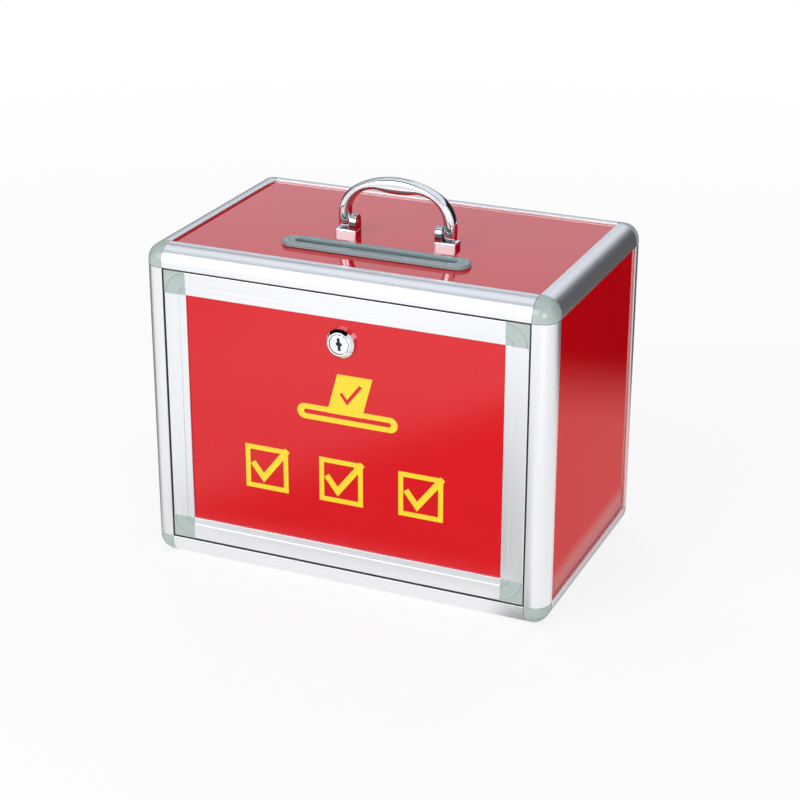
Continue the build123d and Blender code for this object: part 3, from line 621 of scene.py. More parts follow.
class BALLOTBOX_OT_lock(bpy.types.Operator):
    """Make the lock's cap, threaded body, plug and dust shutter, and finish its other pieces"""

    bl_idname = "ballot_box.lock"
    bl_label = "Cam lock"
    bl_options = {"REGISTER", "UNDO"}

    def execute(self, context):
        sizes = context.scene.ballot_box_sizes
        low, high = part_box("lock_plug")
        centre = (low + high) / 2
        self.body(context, sizes, centre)
        self.plug(context, sizes, centre, low, high)
        self.shutter(context, centre, low)
        for name in ("lock_nut", "lock_cam", "lock_cam_washer", "lock_cam_screw"):
            dress_node(name, "zinc_steel", context)
        dress_node("lock_wafers", "wafer_brass", context)
        return {"FINISHED"}

    def body(self, context, sizes, centre):
        """A cap with a sloping side, and a threaded body whose sides are cut flat."""
        low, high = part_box("lock_body")
        r, front, face, fine = sizes.cap_radius, low.y, DOOR_SHEET, 0.05 * MM
        cap_steps, barrel_steps = 64, 48
        bore, crest, brim = sizes.plug_radius + 0.3 * MM, r - 2.2 * MM, front + 2.0 * MM
        outline = [(bore, face), (bore, front + 7 * fine), (bore + 4 * fine, front + fine), (crest, front)]
        outline += [(crest + 3 * fine, front + fine), (crest + 5 * fine, front + 3 * fine)]
        outline += [(r - 3 * fine, brim - 3 * fine), (r, brim), (r, face)]
        bm = bmesh.new()
        self.spin(bm, centre, outline, cap_steps)
        outer, inner, hollow, flat, pitch = 8.0 * MM, 7.5 * MM, 5.6 * MM, 7.0 * MM, 1.0 * MM
        y, barrel = face, []
        while y < high.y - pitch:
            barrel += [(inner, y), (outer, y + pitch / 2)]
            y += pitch
        barrel += [(inner, y), (inner, high.y), (hollow, high.y), (hollow, face)]
        tube = bmesh.new()
        self.spin(tube, centre, barrel, barrel_steps)
        for out in (-1, 1):
            cut = cut_away(tube, (centre.x + out * flat, 0, 0), out * X_AXIS)
            bmesh.ops.holes_fill(tube, edges=cut, sides=0)
        carried = bpy.data.meshes.new("carried")
        tube.to_mesh(carried)
        tube.free()
        bm.from_mesh(carried)
        bpy.data.meshes.remove(carried)
        set_piece(bm, "lock_cap_and_body", "door", "chrome", context, ["lock_body"])

    def plug(self, context, sizes, centre, low, high):
        """The turning face with its key slot, on a barrel that ends in the cam's square."""
        r, front, edge, head, barrel = sizes.plug_radius, low.y, 0.35 * MM, 1.6 * MM, 5.5 * MM
        slot_deep, square, square_run, square_round = 9 * MM, 3.5 * MM, 2 * MM, 0.4 * MM
        bm = bmesh.new()
        turn = Matrix.Rotation(math.pi / 2, 4, "X")
        rim = edges_on(bmesh.ops.create_circle(bm, segments=56, radius=r - edge, matrix=turn)["verts"])
        half_h, half_w, lobe = sizes.key_height / 2, sizes.key_width / 2, 1.5 * MM
        right, left = half_w + lobe * 0.8, -half_w - lobe * 0.7
        key = [(-half_w, -half_h), (half_w, -half_h), (half_w, -0.9 * lobe), (right, -0.5 * lobe)]
        key += [(right, 0.5 * lobe), (half_w, 0.9 * lobe), (half_w, half_h), (-half_w, half_h)]
        key += [(-half_w, 1.1 * lobe), (left, 0.9 * lobe), (left, -0.2 * lobe), (-half_w, -0.6 * lobe)]
        lean = Matrix.Rotation(math.radians(-6), 4, "Y")
        _, slot = closed_loop(bm, [lean @ Vector((x, 0, z)) for x, z in key])
        bmesh.ops.triangle_fill(bm, use_beauty=True, use_dissolve=False, edges=rim + slot)
        ring, slot = next_ring(bm, slot)
        bmesh.ops.translate(bm, verts=ring, vec=(0, slot_deep, 0))
        bmesh.ops.contextual_create(bm, geom=slot)
        for radius, back in ((r, edge), (r, head), (barrel, head), (barrel, high.y - front - square_run)):
            ring, rim = next_ring(bm, rim)
            for v in ring:
                flat = Vector((v.co.x, v.co.z)).normalized() * radius
                v.co = (flat.x, back, flat.y)
        bmesh.ops.contextual_create(bm, geom=rim)
        bmesh.ops.translate(bm, verts=bm.verts, vec=(centre.x, front, centre.z))
        end = cube_between(
            bm,
            (centre.x - square, high.y - square_run, centre.z - square),
            (centre.x + square, high.y, centre.z + square),
        )
        bevel(bm, edges_of(end, lambda run, mid: abs(run.y) > 0.9), square_round, 2)
        set_piece(bm, "lock_plug_face", "lock", "chrome", context, ["lock_plug"])

    def shutter(self, context, centre, low):
        """The dust shutter: a near-black plate that keeps dust out of the key slot and paints the shade inside it."""
        half = Vector((2.8 * MM, 0.15 * MM, 5.0 * MM))
        middle = Vector((centre.x, low.y + 1.1 * MM, centre.z))
        bm = bmesh.new()
        plate = cube_between(bm, middle - half, middle + half)
        bevel(bm, edges_of(plate, lambda run, mid: abs(run.y) > 0.9), 0.5 * MM, 2)
        # Near black, the shutter paints the shade inside the key slot
        set_piece(bm, "lock_dust_shutter", "lock", "zinc_steel", context, ink="shutter_painted_shade")

    def spin(self, bm, centre, outline, steps):
        """A closed outline of radius and depth spun round the lock's axis."""
        verts, edges = closed_loop(bm, [(centre.x + radius, depth, centre.z) for radius, depth in outline])
        bmesh.ops.spin(
            bm,
            geom=verts + edges,
            cent=(centre.x, 0, centre.z),
            axis=Y_AXIS,
            angle=2 * math.pi,
            steps=steps,
            use_merge=True,
            use_duplicate=False,
        )


class BALLOTBOX_OT_slot_trim(bpy.types.Operator):
    """Make the moulded trim round the ballot slot"""

    bl_idname = "ballot_box.slot_trim"
    bl_label = "Slot trim"
    bl_options = {"REGISTER", "UNDO"}

    def execute(self, context):
        sizes = context.scene.ballot_box_sizes
        low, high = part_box("slot_trim")
        centre = Vector(((low.x + high.x) / 2, (low.y + high.y) / 2, TOP_SHEET))
        width, slot, tall = sizes.trim_width / 2, sizes.slot_width / 2, sizes.trim_height
        outer_run, slot_run = (high.x - low.x) / 2 - width, sizes.slot_length / 2 - slot
        collar, foot, under = slot + 2.2 * MM, low.z - TOP_SHEET, 1.0 * MM
        # Each level is half of the straights' length, the radius at the ends and a height
        levels = [(slot_run, slot + 1.1 * MM, z) for z in (foot, under - 0.3 * MM)]
        levels += [(slot_run, slot, under), (slot_run, slot, tall - 0.7 * MM)]
        levels += [(slot_run, slot + r * MM, tall - d * MM) for r, d in ((0.12, 0.33), (0.4, 0.1), (0.8, 0))]
        middle = (outer_run + slot_run) / 2
        levels += [(middle, slot + r * MM, tall - d * MM) for r, d in ((2.1, 0), (2.4, 0.35), (2.6, 0.35), (2.9, 0))]
        rim_round, rim_in = 1.2, 1.6
        for degrees in range(0, 91, 18):
            turn = math.radians(degrees)
            inset, sink = rim_in - rim_round * math.sin(turn), rim_round * (1 - math.cos(turn))
            levels.append((outer_run, width - inset * MM, tall - sink * MM))
        flange = ((0.4, 1.15), (0.1, 1.05), (0, 0.9), (0, 0.5), (0.15, 0.4), (1.2, 0.4), (1.2, 0))
        levels += [(outer_run, width - r * MM, z * MM) for r, z in flange]
        levels += [(slot_run, collar, 0), (slot_run, collar, foot)]
        bm = bmesh.new()
        edges = self.first_ring(bm, *levels[0])
        for before, after in zip(levels, levels[1:] + levels[:1]):
            ring, edges = next_ring(bm, edges)
            for v in ring:
                v.co = self.next_spot(v.co, before, after)
        bmesh.ops.translate(bm, verts=bm.verts, vec=centre)
        self.ribs(bm, centre.x, centre.y - (slot + 0.4 * MM + width - 1.2 * MM) / 2, TOP_SHEET + tall)
        set_piece(bm, "ballot_slot_trim", "case", "trim_plastic", context, ["slot_trim"])
        return {"FINISHED"}

    def first_ring(self, bm, half_run, radius, height):
        """The slot's outline: two half circles and two straights, each with three points at both seams."""
        spots = []
        for end in (1, -1):
            for i in range(25):
                turn = math.radians(-90 + i * 7.5)
                spots.append((end * (half_run + radius * math.cos(turn)), end * radius * math.sin(turn), height))
            for at in (SEAM_AT, -SEAM_AT):
                spots += [(end * (at + shift), end * radius, height) for shift in (SEAM, 0, -SEAM)]
        return closed_loop(bm, spots)[1]

    def next_spot(self, spot, before, after):
        """Where a point goes on the next ring: straight across, or away from the centre of its round end."""
        (run, radius, _), (next_run, next_radius, height) = before, after
        end, beyond = math.copysign(1, spot.x), max(abs(spot.x) - run, 0)
        rounded = abs(spot.x) > run - SAME
        x = end * (next_run + beyond / radius * next_radius) if rounded else spot.x
        y = spot.y / radius * next_radius
        # A fine seam is pressed across the top
        pressed = abs(abs(spot.x) - SEAM_AT) < NEAR and height > 0.5 * MM
        return Vector((x, y, height - 0.4 * MM if pressed else height))

    def ribs(self, bm, x, y, z):
        """A row of small ribs on the trim's front rim."""
        count, pitch = 13, 3.4 * MM
        half, sunk = Vector((0.6 * MM, 1.3 * MM, 0.6 * MM)), Vector((0, 0, 0.3 * MM))
        for i in range(count):
            middle = Vector((x + (i - (count - 1) / 2) * pitch, y, z))
            low = middle - Vector((half.x, half.y, 0)) - sunk
            rib = cube_between(bm, low, middle + half)
            bevel(bm, edges_of(rib, lambda run, mid: mid.z > z + 0.5 * MM), 0.2 * MM, 2)


class BALLOTBOX_OT_handle(bpy.types.Operator):
    """Make the folding bow and its two feet, and finish their fasteners"""

    bl_idname = "ballot_box.handle"
    bl_label = "Handle"
    bl_options = {"REGISTER", "UNDO"}

    def execute(self, context):
        self.bow(context, *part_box("handle_bow"))
        for side, out in SIDES:
            self.foot(context, side, out)
        for name in ("handle_pins", "handle_screws", "handle_washers", "handle_nuts"):
            dress_node(name, "zinc_steel", context)
        return {"FINISHED"}

    def bow(self, context, low, high):
        """An oval section swept round the arch, swelling at the grip, with round ends at the pivots."""
        middle, half_out, deep = (low + high) / 2, (high.x - low.x) / 2, (high.y - low.y) / 2
        pivot, rise = low.z + deep - TOP_SHEET, high.z - TOP_SHEET
        # The power that makes the oval section a little squarer than an ellipse
        fullness, section_steps, arch_step = 0.85, 36, 4
        outer, inner = self.arch_reach(0, half_out, rise)
        leg, leg_thick, leg_steps = [], (outer - inner) / 2, 6
        for i in range(leg_steps + 1):
            turn = (1 - i / leg_steps) * math.radians(84)
            leg.append(((outer + inner) / 2, pivot - deep * math.sin(turn), deep * math.cos(turn)))
        rings = [(Vector((x, 0, z)), X_AXIS, leg_thick, width) for x, z, width in leg]
        for degrees in range(0, 181, arch_step):
            angle = math.radians(degrees)
            outer, inner = self.arch_reach(angle, half_out, rise)
            across = Vector((math.cos(angle), 0, math.sin(angle)))
            centre = Vector((0, 0, HUB)) + across * (outer + inner) / 2
            rings.append((centre, across, (outer - inner) / 2, deep))
        rings += [(Vector((-x, 0, z)), -X_AXIS, leg_thick, width) for x, z, width in reversed(leg)]
        bm = bmesh.new()
        ring = bmesh.ops.create_circle(bm, segments=section_steps, radius=1.0)["verts"]
        angles = [math.atan2(v.co.y, v.co.x) for v in ring]
        start = edges = edges_on(ring)
        for number, (centre, across, thick, width) in enumerate(rings):
            if number:
                made, edges = next_ring(bm, edges)
                ring = self.follow(ring, set(made))
            for v, a in zip(ring, angles):
                x = math.copysign(abs(math.cos(a)) ** fullness, math.cos(a)) * thick
                y = math.copysign(abs(math.sin(a)) ** fullness, math.sin(a)) * width
                v.co = centre + across * x + Y_AXIS * y
        for end in (start, edges):
            bmesh.ops.contextual_create(bm, geom=end)
        bmesh.ops.translate(bm, verts=bm.verts, vec=(middle.x, middle.y, TOP_SHEET))
        set_piece(bm, "handle_bow_cast", "handle", "chrome", context, ["handle_bow"], sharp=50.0)

    def follow(self, ring, made):
        """The new ring's vertices in the order of the old ring's."""
        return [next(e.other_vert(v) for e in v.link_edges if e.other_vert(v) in made) for v in ring]

    def arch_reach(self, angle, half_out, rise):
        """How far the bow's outer and inner faces are from its middle, a little above the panel."""
        angle = min(angle, math.pi - angle)
        start = Vector((0, HUB))
        ray = Vector((math.cos(angle), math.sin(angle)))
        top_r, lean, under_r, under_z = 62 * MM, math.radians(30), 18.9 * MM, 16 * MM
        leg, grip = 9.1 * MM, rise - 12 * MM
        shoulder = (half_out - top_r * math.sin(lean)) / (1 - math.sin(lean))
        top_z = rise - top_r
        join = Vector((top_r * math.sin(lean), top_z + top_r * math.cos(lean))) - start
        shoulder_at = Vector((half_out - shoulder, top_z + (top_r - shoulder) * math.cos(lean)))
        if angle < math.atan2(join.y, join.x):
            outer = self.far(start, ray, shoulder_at, shoulder, 1)
        else:
            outer = self.far(start, ray, Vector((0, top_z)), top_r, 1)
        in_x, drop = half_out - leg - under_r, grip - under_z
        swell = (in_x**2 + drop**2 - under_r**2) / (2 * (under_r - drop))
        turn = math.atan2(drop + swell, in_x)
        join = Vector((in_x - under_r * math.cos(turn), under_z + under_r * math.sin(turn))) - start
        if angle < math.atan2(join.y, join.x):
            inner = self.far(start, ray, Vector((in_x, under_z)), under_r, 1)
        else:
            inner = self.far(start, ray, Vector((0, grip + swell)), swell, -1)
        return outer, inner

    def far(self, start, ray, centre, radius, sign):
        """Where a ray leaves, or enters, a circle."""
        along = (centre - start).dot(ray)
        gap = (centre - start).length_squared - along**2
        return along + sign * math.sqrt(max(radius**2 - gap, 0))

    def foot(self, context, side, out):
        """A cast foot: a plate with rounded edges and a countersunk hole, and an ear with a round top."""
        low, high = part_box(f"handle_foot_{side}")
        middle = (low + high) / 2
        plate_top, plate_round = low.z + 4.5 * MM, 1.2 * MM
        ear_w, ear_r, ear_foot, ear_round, set_in = 5.2 * MM, 5.0 * MM, low.z + 0.5 * MM, 0.6 * MM, 0.12 * MM
        screws, head, shank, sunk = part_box("handle_screws"), 3.5 * MM, 2.1 * MM, 2.02 * MM
        hole_x = screws[0].x + head if out < 0 else screws[1].x - head
        bm = bmesh.new()
        plate = cube_between(bm, low, (high.x, high.y, plate_top))
        bevel(bm, edges_of(plate, lambda run, mid: mid.z > low.z + NEAR), plate_round, 5)
        top = self.pierce(bm, plate_top, hole_x, middle.y, head + 0.15 * MM)
        bottom = self.pierce(bm, low.z, hole_x, middle.y, shank)
        ring, neck = next_ring(bm, top)
        for v in ring:
            flat = Vector((v.co.x - hole_x, v.co.y - middle.y)).normalized() * shank
            v.co = (hole_x + flat.x, middle.y + flat.y, plate_top - sunk)
        bmesh.ops.bridge_loops(bm, edges=neck + bottom)
        x_in = low.x + set_in if out > 0 else high.x - ear_w + set_in
        ear_end = (x_in + ear_w - 2 * set_in, middle.y + ear_r, high.z)
        ear = cube_between(bm, (x_in, middle.y - ear_r, ear_foot), ear_end)
        crown = edges_of(ear, lambda run, mid: abs(run.x) > 0.9 and mid.z > high.z - 0.1 * MM)
        bevel(bm, crown, ear_r - NEAR, 12)
        faces = [f for f in bm.faces if abs(f.normal.x) > 0.9 and f.calc_center_median().z > plate_top]
        outline = [e for f in faces for e in f.edges if min(v.co.z for v in e.verts) > ear_foot + 0.1 * MM]
        bevel(bm, outline, ear_round, 3)
        set_piece(bm, f"handle_foot_cast_{side}", "case", "chrome", context, [f"handle_foot_{side}"])

    def pierce(self, bm, z, x, y, radius):
        """Cuts a round hole in the flat face at a height, and gives the hole's edges."""
        face = max((f for f in bm.faces if abs(f.calc_center_median().z - z) < NEAR), key=lambda f: f.calc_area())
        outline = list(face.edges)
        bmesh.ops.delete(bm, geom=[face], context="FACES_ONLY")
        spot = Matrix.Translation((x, y, z))
        edges = edges_on(bmesh.ops.create_circle(bm, segments=32, radius=radius, matrix=spot)["verts"])
        bmesh.ops.triangle_fill(bm, use_beauty=True, use_dissolve=False, edges=outline + edges)
        return edges


class BALLOTBOX_OT_marks(bpy.types.Operator):
    """Print the marks on the door: a ballot going into a slot, and three ticked boxes"""

    bl_idname = "ballot_box.marks"
    bl_label = "Marks"
    bl_options = {"REGISTER", "UNDO"}

    def execute(self, context):
        sizes = context.scene.ballot_box_sizes
        stroke, over = sizes.stroke, sizes.ink * 1.6
        half, tick_size = 16.5 * MM, 26 * MM
        # Where the marks stand on the door, across and up in millimetres
        boxes, ballot = ((-58.5, 82.0), (-1.5, 82.0), (58.0, 82.0)), (3.5, 131.0)
        for i, spot in enumerate(boxes):
            bm = bmesh.new()
            self.print_loops(bm, [self.square(half), self.square(half - stroke)], sizes.ink)
            self.print_loops(bm, [self.tick(tick_size, stroke * 1.25)], over)
            self.put(bm, *spot)
            set_piece(bm, f"mark_ticked_box_{i + 1}", "door", "red_panel", context, ink="mark_ink")
        bm = bmesh.new()
        bar, gap = self.stadium(37.5 * MM, 5.6 * MM), self.stadium(32.5 * MM, 1.7 * MM)
        self.print_loops(bm, [bar, gap], sizes.ink)
        sheet = [Vector((x * MM, 0, z * MM)) for x, z in ((-15, 1.5), (11, 1.5), (19, 31), (-7, 31))]
        tick = [p * 0.55 + Vector((1.5 * MM, 0, 15.5 * MM)) for p in self.tick(tick_size, stroke * 1.3)]
        self.print_loops(bm, [sheet, tick], over)
        self.put(bm, *ballot)
        set_piece(bm, "mark_ballot_and_slot", "door", "red_panel", context, ink="mark_ink")
        return {"FINISHED"}

    def square(self, half):
        return [Vector((x * half, 0, z * half)) for x, z in ((-1, -1), (1, -1), (1, 1), (-1, 1))]

    def tick(self, size, stroke):
        """A tick's outline: a short arm down and a long arm up."""
        start, foot, end = Vector((-0.42, 0.12)) * size, Vector((-0.1, -0.3)) * size, Vector((0.62, 0.62)) * size
        first, second = (foot - start).normalized(), (end - foot).normalized()
        a, b = Vector((-first.y, first.x)) * stroke / 2, Vector((-second.y, second.x)) * stroke / 2
        mitre = (a + b).normalized() * stroke / 2 / max(0.35, (a + b).normalized().dot(a.normalized()))
        flat = [start + a, foot + mitre, end + b, end - b, foot - mitre, start - a]
        return [Vector((p.x, 0, p.y)) for p in flat]

    def stadium(self, half_long, half_high):
        """A bar's outline, round at both ends."""
        points = []
        for end in (1, -1):
            for i in range(13):
                turn = math.radians(-90 + i * 15) + (0 if end > 0 else math.pi)
                x = end * (half_long - half_high) + half_high * math.cos(turn)
                points.append(Vector((x, 0, half_high * math.sin(turn))))
        return points

    def print_loops(self, bm, loops, thickness):
        """Fills an outline and its hole, and raises it by the ink's thickness."""
        edges = [e for loop in loops for e in closed_loop(bm, loop)[1]]
        filled = bmesh.ops.triangle_fill(bm, use_beauty=True, use_dissolve=False, edges=edges)["geom"]
        made = bmesh.ops.extrude_face_region(bm, geom=only(BMFace, filled))["geom"]
        bmesh.ops.translate(bm, verts=only(BMVert, made), vec=(0, -thickness, 0))

    def put(self, bm, x, z):
        """Puts a mark on the door's sheet."""
        bmesh.ops.translate(bm, verts=bm.verts, vec=(x * MM, DOOR_SHEET, z * MM))


class BALLOTBOX_OT_pins(bpy.types.Operator):
    """Finish the door's hinge pins"""

    bl_idname = "ballot_box.pins"
    bl_label = "Hinge pins"
    bl_options = {"REGISTER", "UNDO"}

    def execute(self, context):
        dress_node("hinge_pins", "zinc_steel", context)
        return {"FINISHED"}


# What reflections show of the table: a painted map of light and shade, as soft edges between light and dark. Each
# edge has the direction that it is measured along, the two distances in metres where it starts and ends, and the light
# before and after it. A join combines edges, numbers and earlier joins
TABLE_EDGES = {
    # Painted pools of light lie in front on the left and on the right. Beside and behind the case all of the table is
    # painted lit
    "left_pool": ((-0.883, -0.471, 0), (0.17, 0.28), (0.35, 1.0)),
    "right_pool": ((0.93, -0.37, 0), (0.13, 0.19), (0.0, 1.0)),
    "close": ((0, 1, 0), (-0.2, -0.13), (0.0, 1.0)),
    # Further back the painted light fades to dark
    "far_back_dark": ((0.2, 1, 0), (0.28, 0.47), (1.0, 0.03)),
    # A painted red glow of the right side's panel lies on the strip past the front rail and beside the case
    "past_rail": ((-2.986, 1, 0), (-0.55, -0.525), (0.0, 1.0)),
    "past_side": ((1, 0, 0), (0.16, 0.172), (0.0, 1.0)),
    # The table beside the left side is painted dark
    "back": ((0, 1, 0), (-0.14, -0.04), (0.0, 1.0)),
    "left": ((1, 0, 0), (-0.17, -0.13), (0.9, 0.0)),
    # A narrow strip right under the right side is painted dimmer too
    "skirt": ((1, 0, 0), (0.152, 0.168), (0.6, 0.0)),
    "inner_end": ((1, 0, 0), (0.1, 0.13), (0.0, 1.0)),
    # A painted soft spot of lamp light lies further out in front, where the door's upper half sees the table
    "spot_out": ((0, 1, 0), (-0.5, -0.3), (0.25, 0.0)),
    "spot_in": ((1, 0, 0), (-0.38, -0.24), (0.0, 1.0)),
    "spot_right": ((1, 0, 0), (-0.04, 0.03), (1.0, 0.0)),
}
TABLE_JOINS = (
    ("lit", "MAXIMUM", "left_pool", "right_pool", "close"),
    ("beside", "MULTIPLY", "past_rail", "past_side"),
    ("hidden", "MULTIPLY", "back", "left"),
    ("open_side", "SUBTRACT", 1.0, "hidden"),
    ("under_side", "MULTIPLY", "past_rail", "skirt", "inner_end"),
    ("clear", "SUBTRACT", 1.0, "under_side"),
    ("soft_spot", "MULTIPLY", "spot_out", "spot_in", "spot_right"),
    ("brighter", "ADD", "soft_spot", 1.0),
    ("shown", "MULTIPLY", "lit", "far_back_dark", "open_side", "clear", "brighter"),
)

# What reflections show of the room, by the direction that they look in: a painted map of light and shade
VIEW, DARK_BAND = (-0.366, 0.846, -0.389), (0.237, 0.9, 0.368)
ROOM_EDGES = {
    # In front the room is white. Behind it is white above a line that climbs to the right, and dark below
    "slope": ((-0.45, 0, 1), (0.28, 0.42), (0.02, 1.06)),
    "level": ((0, 0, 1), (0.145, 0.285), (0.02, 1.06)),
    "front_wall": ((0, 1, 0), (-0.1, 0.25), (1.0, 0.0)),
    # Reflections are painted dark in a wide arc on the left
    "inside": (VIEW, (0.52, 0.58), (0.04, 1.0)),
    "outside": (VIEW, (0.24, 0.3), (1.0, 0.04)),
    "sideways": ((1, 0, 0), (-0.28, -0.12), (0.0, 1.0)),
    # A painted dark band crosses the reflected ceiling from the left, over the camera
    "over_front": (DARK_BAND, (-0.32, -0.28), (1.0, 0.0)),
    "over_back": (DARK_BAND, (-0.09, -0.05), (0.0, 1.0)),
    "band_end": ((1, 0, 0), (0.4, 0.5), (0.0, 1.0)),
}
ROOM_JOINS = (
    ("back_wall", "MINIMUM", "slope", "level"),
    ("walls", "MAXIMUM", "back_wall", "front_wall"),
    ("dark_left_arc", "MAXIMUM", "inside", "outside", "sideways"),
    ("dark_overhead_band", "MAXIMUM", "over_front", "over_back", "band_end"),
    ("shown", "MULTIPLY", "walls", "dark_left_arc", "dark_overhead_band"),
)


def light_map(tree, where, edges, joins):
    """A map of light and dark: its soft edges, then its joins."""
    made = {}
    for name, (way, (start, end), (before, after)) in edges.items():
        along = add(tree, "ShaderNodeVectorMath", {0: where, 1: way}, operation="DOT_PRODUCT").outputs["Value"]
        made[name] = add(
            tree,
            "ShaderNodeMapRange",
            {"Value": along, "From Min": start, "From Max": end, "To Min": before, "To Max": after},
            interpolation_type="SMOOTHSTEP",
        ).outputs["Result"]
    for name, operation, first, *others in joins:
        made[name] = made.get(first, first)
        for other in others:
            pair = {0: made[name], 1: made.get(other, other)}
            made[name] = add(tree, "ShaderNodeMath", pair, operation=operation).outputs[0]
    return made


def ray_kinds(tree):
    """Whether a ray comes straight from the camera, and whether it is a reflection or goes through glass."""
    path = add(tree, "ShaderNodeLightPath").outputs
    pair = {0: path["Is Glossy Ray"], 1: path["Is Transmission Ray"]}
    return path["Is Camera Ray"], add(tree, "ShaderNodeMath", pair, operation="MAXIMUM").outputs[0]


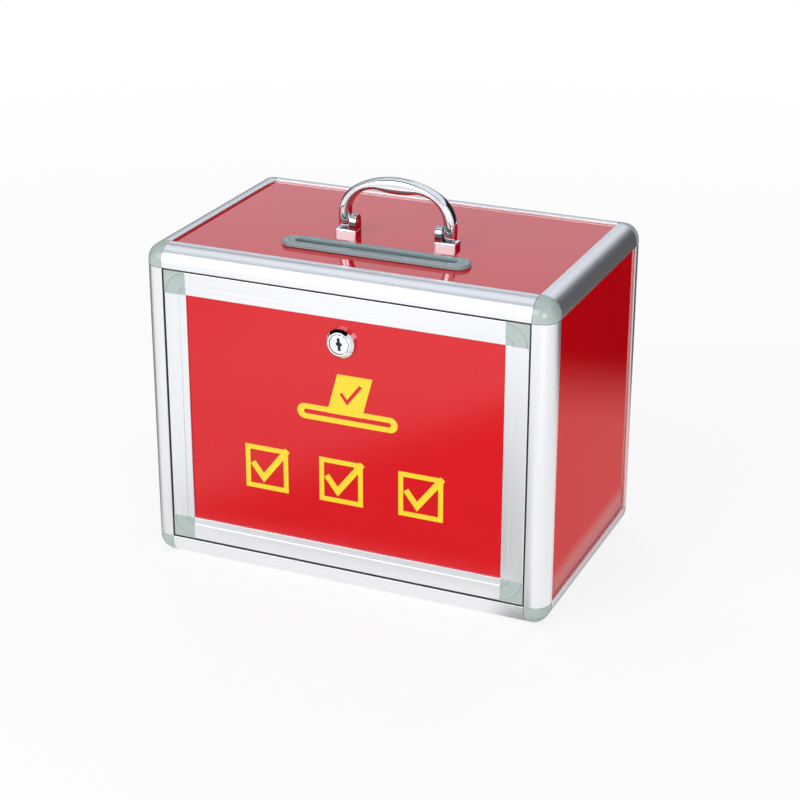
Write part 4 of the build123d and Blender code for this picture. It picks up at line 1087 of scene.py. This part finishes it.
class BALLOTBOX_OT_studio(bpy.types.Operator):
    """Set the floor, the soft light and the camera"""

    bl_idname = "ballot_box.studio"
    bl_label = "Studio"
    bl_options = {"REGISTER", "UNDO"}

    def execute(self, context):
        self.floor(context)
        self.world(context)
        back = self.lamp(context, "soft_back", spot=(-0.3, 1.1, 1.35), aim=(0, 0, 0.15), size=(1.5, 0.9), power=7)
        back.visible_glossy = False
        low = (0, 0, 0.12)
        self.lamp(context, "soft_left_front", spot=(-0.78, -1.78, 1.05), aim=low, size=(1.4, 1.2), power=16)
        self.lamp(context, "soft_right_front", spot=(0.9, -1.4, 0.5), aim=low, size=(0.6, 0.6), power=8)
        self.camera(context)
        return {"FINISHED"}

    def floor(self, context):
        """A white table that keeps the box's shadow. Reflections see a painted map of light and shade on it instead.
        """
        # In metres, each way from the middle
        reach = 9
        bm = bmesh.new()
        bmesh.ops.create_grid(bm, x_segments=1, y_segments=1, size=reach)
        mesh = bpy.data.meshes.new("studio_floor")
        bm.to_mesh(mesh)
        bm.free()
        made, tree, place = start_finish("studio_floor_paint")
        base = shade(context.scene.ballot_box_colours.backdrop, 0)
        direct, mirrored = ray_kinds(tree)
        light = light_map(tree, place, TABLE_EDGES, TABLE_JOINS)
        strength = add(
            tree, "ShaderNodeMix", {"Factor": mirrored, "A": 1.0, "B": light["shown"]}, data_type="FLOAT"
        ).outputs["Result"]
        # Away from the box the table fades into the white background
        distance = add(tree, "ShaderNodeVectorMath", {0: place}, operation="LENGTH").outputs["Value"]
        fade = add(
            tree,
            "ShaderNodeMapRange",
            {"Value": distance, "From Min": 0.5, "From Max": 1.6, "To Min": 0.8, "To Max": 1.0},
            interpolation_type="SMOOTHSTEP",
        ).outputs["Result"]
        seen = add(tree, "ShaderNodeMath", {0: direct, 1: fade}, operation="MULTIPLY").outputs[0]
        whole = add(tree, "ShaderNodeMath", {0: mirrored, 1: seen}, operation="MAXIMUM").outputs[0]
        # A painted red glow of the panels lies on the table beside the box, seen only in reflections
        cast = add(tree, "ShaderNodeMath", {0: mirrored, 1: light["beside"]}, operation="MULTIPLY").outputs[0]
        painted_red_glow = shade(linear("#FF9B97"), 0)
        glow_colour = add(tree, "ShaderNodeMix", {"Factor": cast, "A": base, "B": painted_red_glow}, data_type="RGBA").outputs["Result"]
        paint = add(tree, "ShaderNodeBsdfDiffuse", {"Color": base}).outputs[0]
        glow = add(tree, "ShaderNodeEmission", {"Color": glow_colour, "Strength": strength}).outputs[0]
        mixed = add(tree, "ShaderNodeMixShader", {0: whole, 1: paint, 2: glow}).outputs[0]
        add(tree, "ShaderNodeOutputMaterial", {"Surface": mixed})
        mesh.materials.append(made)
        floor = bpy.data.objects.new("studio_floor", mesh)
        context.scene.collection.objects.link(floor)

    def world(self, context):
        """A pale room that lights the box, white to the camera. Reflections see a painted map of light and shade
        instead.
        """
        world = bpy.data.worlds.new("studio_room")
        context.scene.world = world
        world.use_nodes = True
        tree = world.node_tree
        tree.nodes.clear()
        direct, mirrored = ray_kinds(tree)
        light = light_map(tree, add(tree, "ShaderNodeTexCoord").outputs["Generated"], ROOM_EDGES, ROOM_JOINS)
        room, white, mirror = (
            add(tree, "ShaderNodeBackground", {"Color": shade(linear(tone), 0), "Strength": strength}).outputs[0]
            for tone, strength in (("#F4F6FA", 0.55), ("#FFFFFF", 1.0), ("#F2F6FF", light["shown"]))
        )
        mixed = add(tree, "ShaderNodeMixShader", {0: direct, 1: room, 2: white}).outputs[0]
        mixed = add(tree, "ShaderNodeMixShader", {0: mirrored, 1: mixed, 2: mirror}).outputs[0]
        add(tree, "ShaderNodeOutputWorld", {"Surface": mixed})

    def lamp(self, context, name, spot, aim, size, power):
        """A soft box that shines at a point."""
        data = bpy.data.lights.new(name, "AREA")
        data.shape = "RECTANGLE"
        (data.size, data.size_y), data.energy = size, power
        lamp = bpy.data.objects.new(name, data)
        context.scene.collection.objects.link(lamp)
        way = Vector(aim) - Vector(spot)
        lamp.matrix_world = Matrix.Translation(spot) @ way.to_track_quat("-Z", "Y").to_matrix().to_4x4()
        return lamp

    def camera(self, context):
        """The photograph's viewing angle: the camera looks down at 23 degrees from the right of the front."""
        data = bpy.data.cameras.new("camera")
        data.sensor_width, data.lens = 36.0, 92.72
        data.clip_start, data.clip_end = 0.05, 50
        camera = bpy.data.objects.new("camera", data)
        context.scene.collection.objects.link(camera)
        azimuth, elevation, roll = math.radians(23.388), math.radians(22.873), math.radians(0.109)
        target, distance = Vector((2.51 * MM, 0, 108.2 * MM)), 1486.99 * MM
        level = Vector((math.sin(azimuth), -math.cos(azimuth), 0))
        back = level * math.cos(elevation) + Z_AXIS * math.sin(elevation)
        turn = back.to_track_quat("Z", "Y").to_matrix().to_4x4() @ Matrix.Rotation(roll, 4, "Z")
        camera.matrix_world = Matrix.Translation(target + back * distance) @ turn
        context.scene.camera = camera
        context.scene.view_settings.view_transform = "Standard"


STEPS = (
    BALLOTBOX_OT_case_rails,
    BALLOTBOX_OT_case_corners,
    BALLOTBOX_OT_panels,
    BALLOTBOX_OT_door_rails,
    BALLOTBOX_OT_door_corners,
    BALLOTBOX_OT_gap_shade_sheet,
    BALLOTBOX_OT_lock,
    BALLOTBOX_OT_slot_trim,
    BALLOTBOX_OT_handle,
    BALLOTBOX_OT_marks,
    BALLOTBOX_OT_pins,
    BALLOTBOX_OT_studio,
)


class BALLOTBOX_PT_pieces(bpy.types.Panel):
    """Lists the box's pieces, sizes and colours"""

    bl_idname = "BALLOTBOX_PT_pieces"
    bl_label = "Ballot box"
    bl_space_type = "VIEW_3D"
    bl_region_type = "UI"
    bl_category = "Ballot box"

    def draw(self, context):
        for step in STEPS:
            self.layout.operator(step.bl_idname)
        for group in (context.scene.ballot_box_sizes, context.scene.ballot_box_colours):
            box = self.layout.box()
            for name in group.__annotations__:
                box.prop(group, name)


CLASSES = (BallotBoxColours, BallotBoxSizes, *STEPS, BALLOTBOX_PT_pieces)


def register():
    for each in CLASSES:
        bpy.utils.register_class(each)
    bpy.types.Scene.ballot_box_colours = PointerProperty(type=BallotBoxColours)
    bpy.types.Scene.ballot_box_sizes = PointerProperty(type=BallotBoxSizes)


def unregister():
    del bpy.types.Scene.ballot_box_sizes
    del bpy.types.Scene.ballot_box_colours
    for each in reversed(CLASSES):
        bpy.utils.unregister_class(each)


def main():
    register()
    bpy.ops.ballot_box.case_rails()
    bpy.ops.ballot_box.case_corners()
    bpy.ops.ballot_box.panels()
    bpy.ops.ballot_box.door_rails()
    bpy.ops.ballot_box.door_corners()
    bpy.ops.ballot_box.gap_lining()
    bpy.ops.ballot_box.lock()
    bpy.ops.ballot_box.slot_trim()
    bpy.ops.ballot_box.handle()
    bpy.ops.ballot_box.marks()
    bpy.ops.ballot_box.pins()
    bpy.ops.ballot_box.studio()


if __name__ == "__main__":
    main()
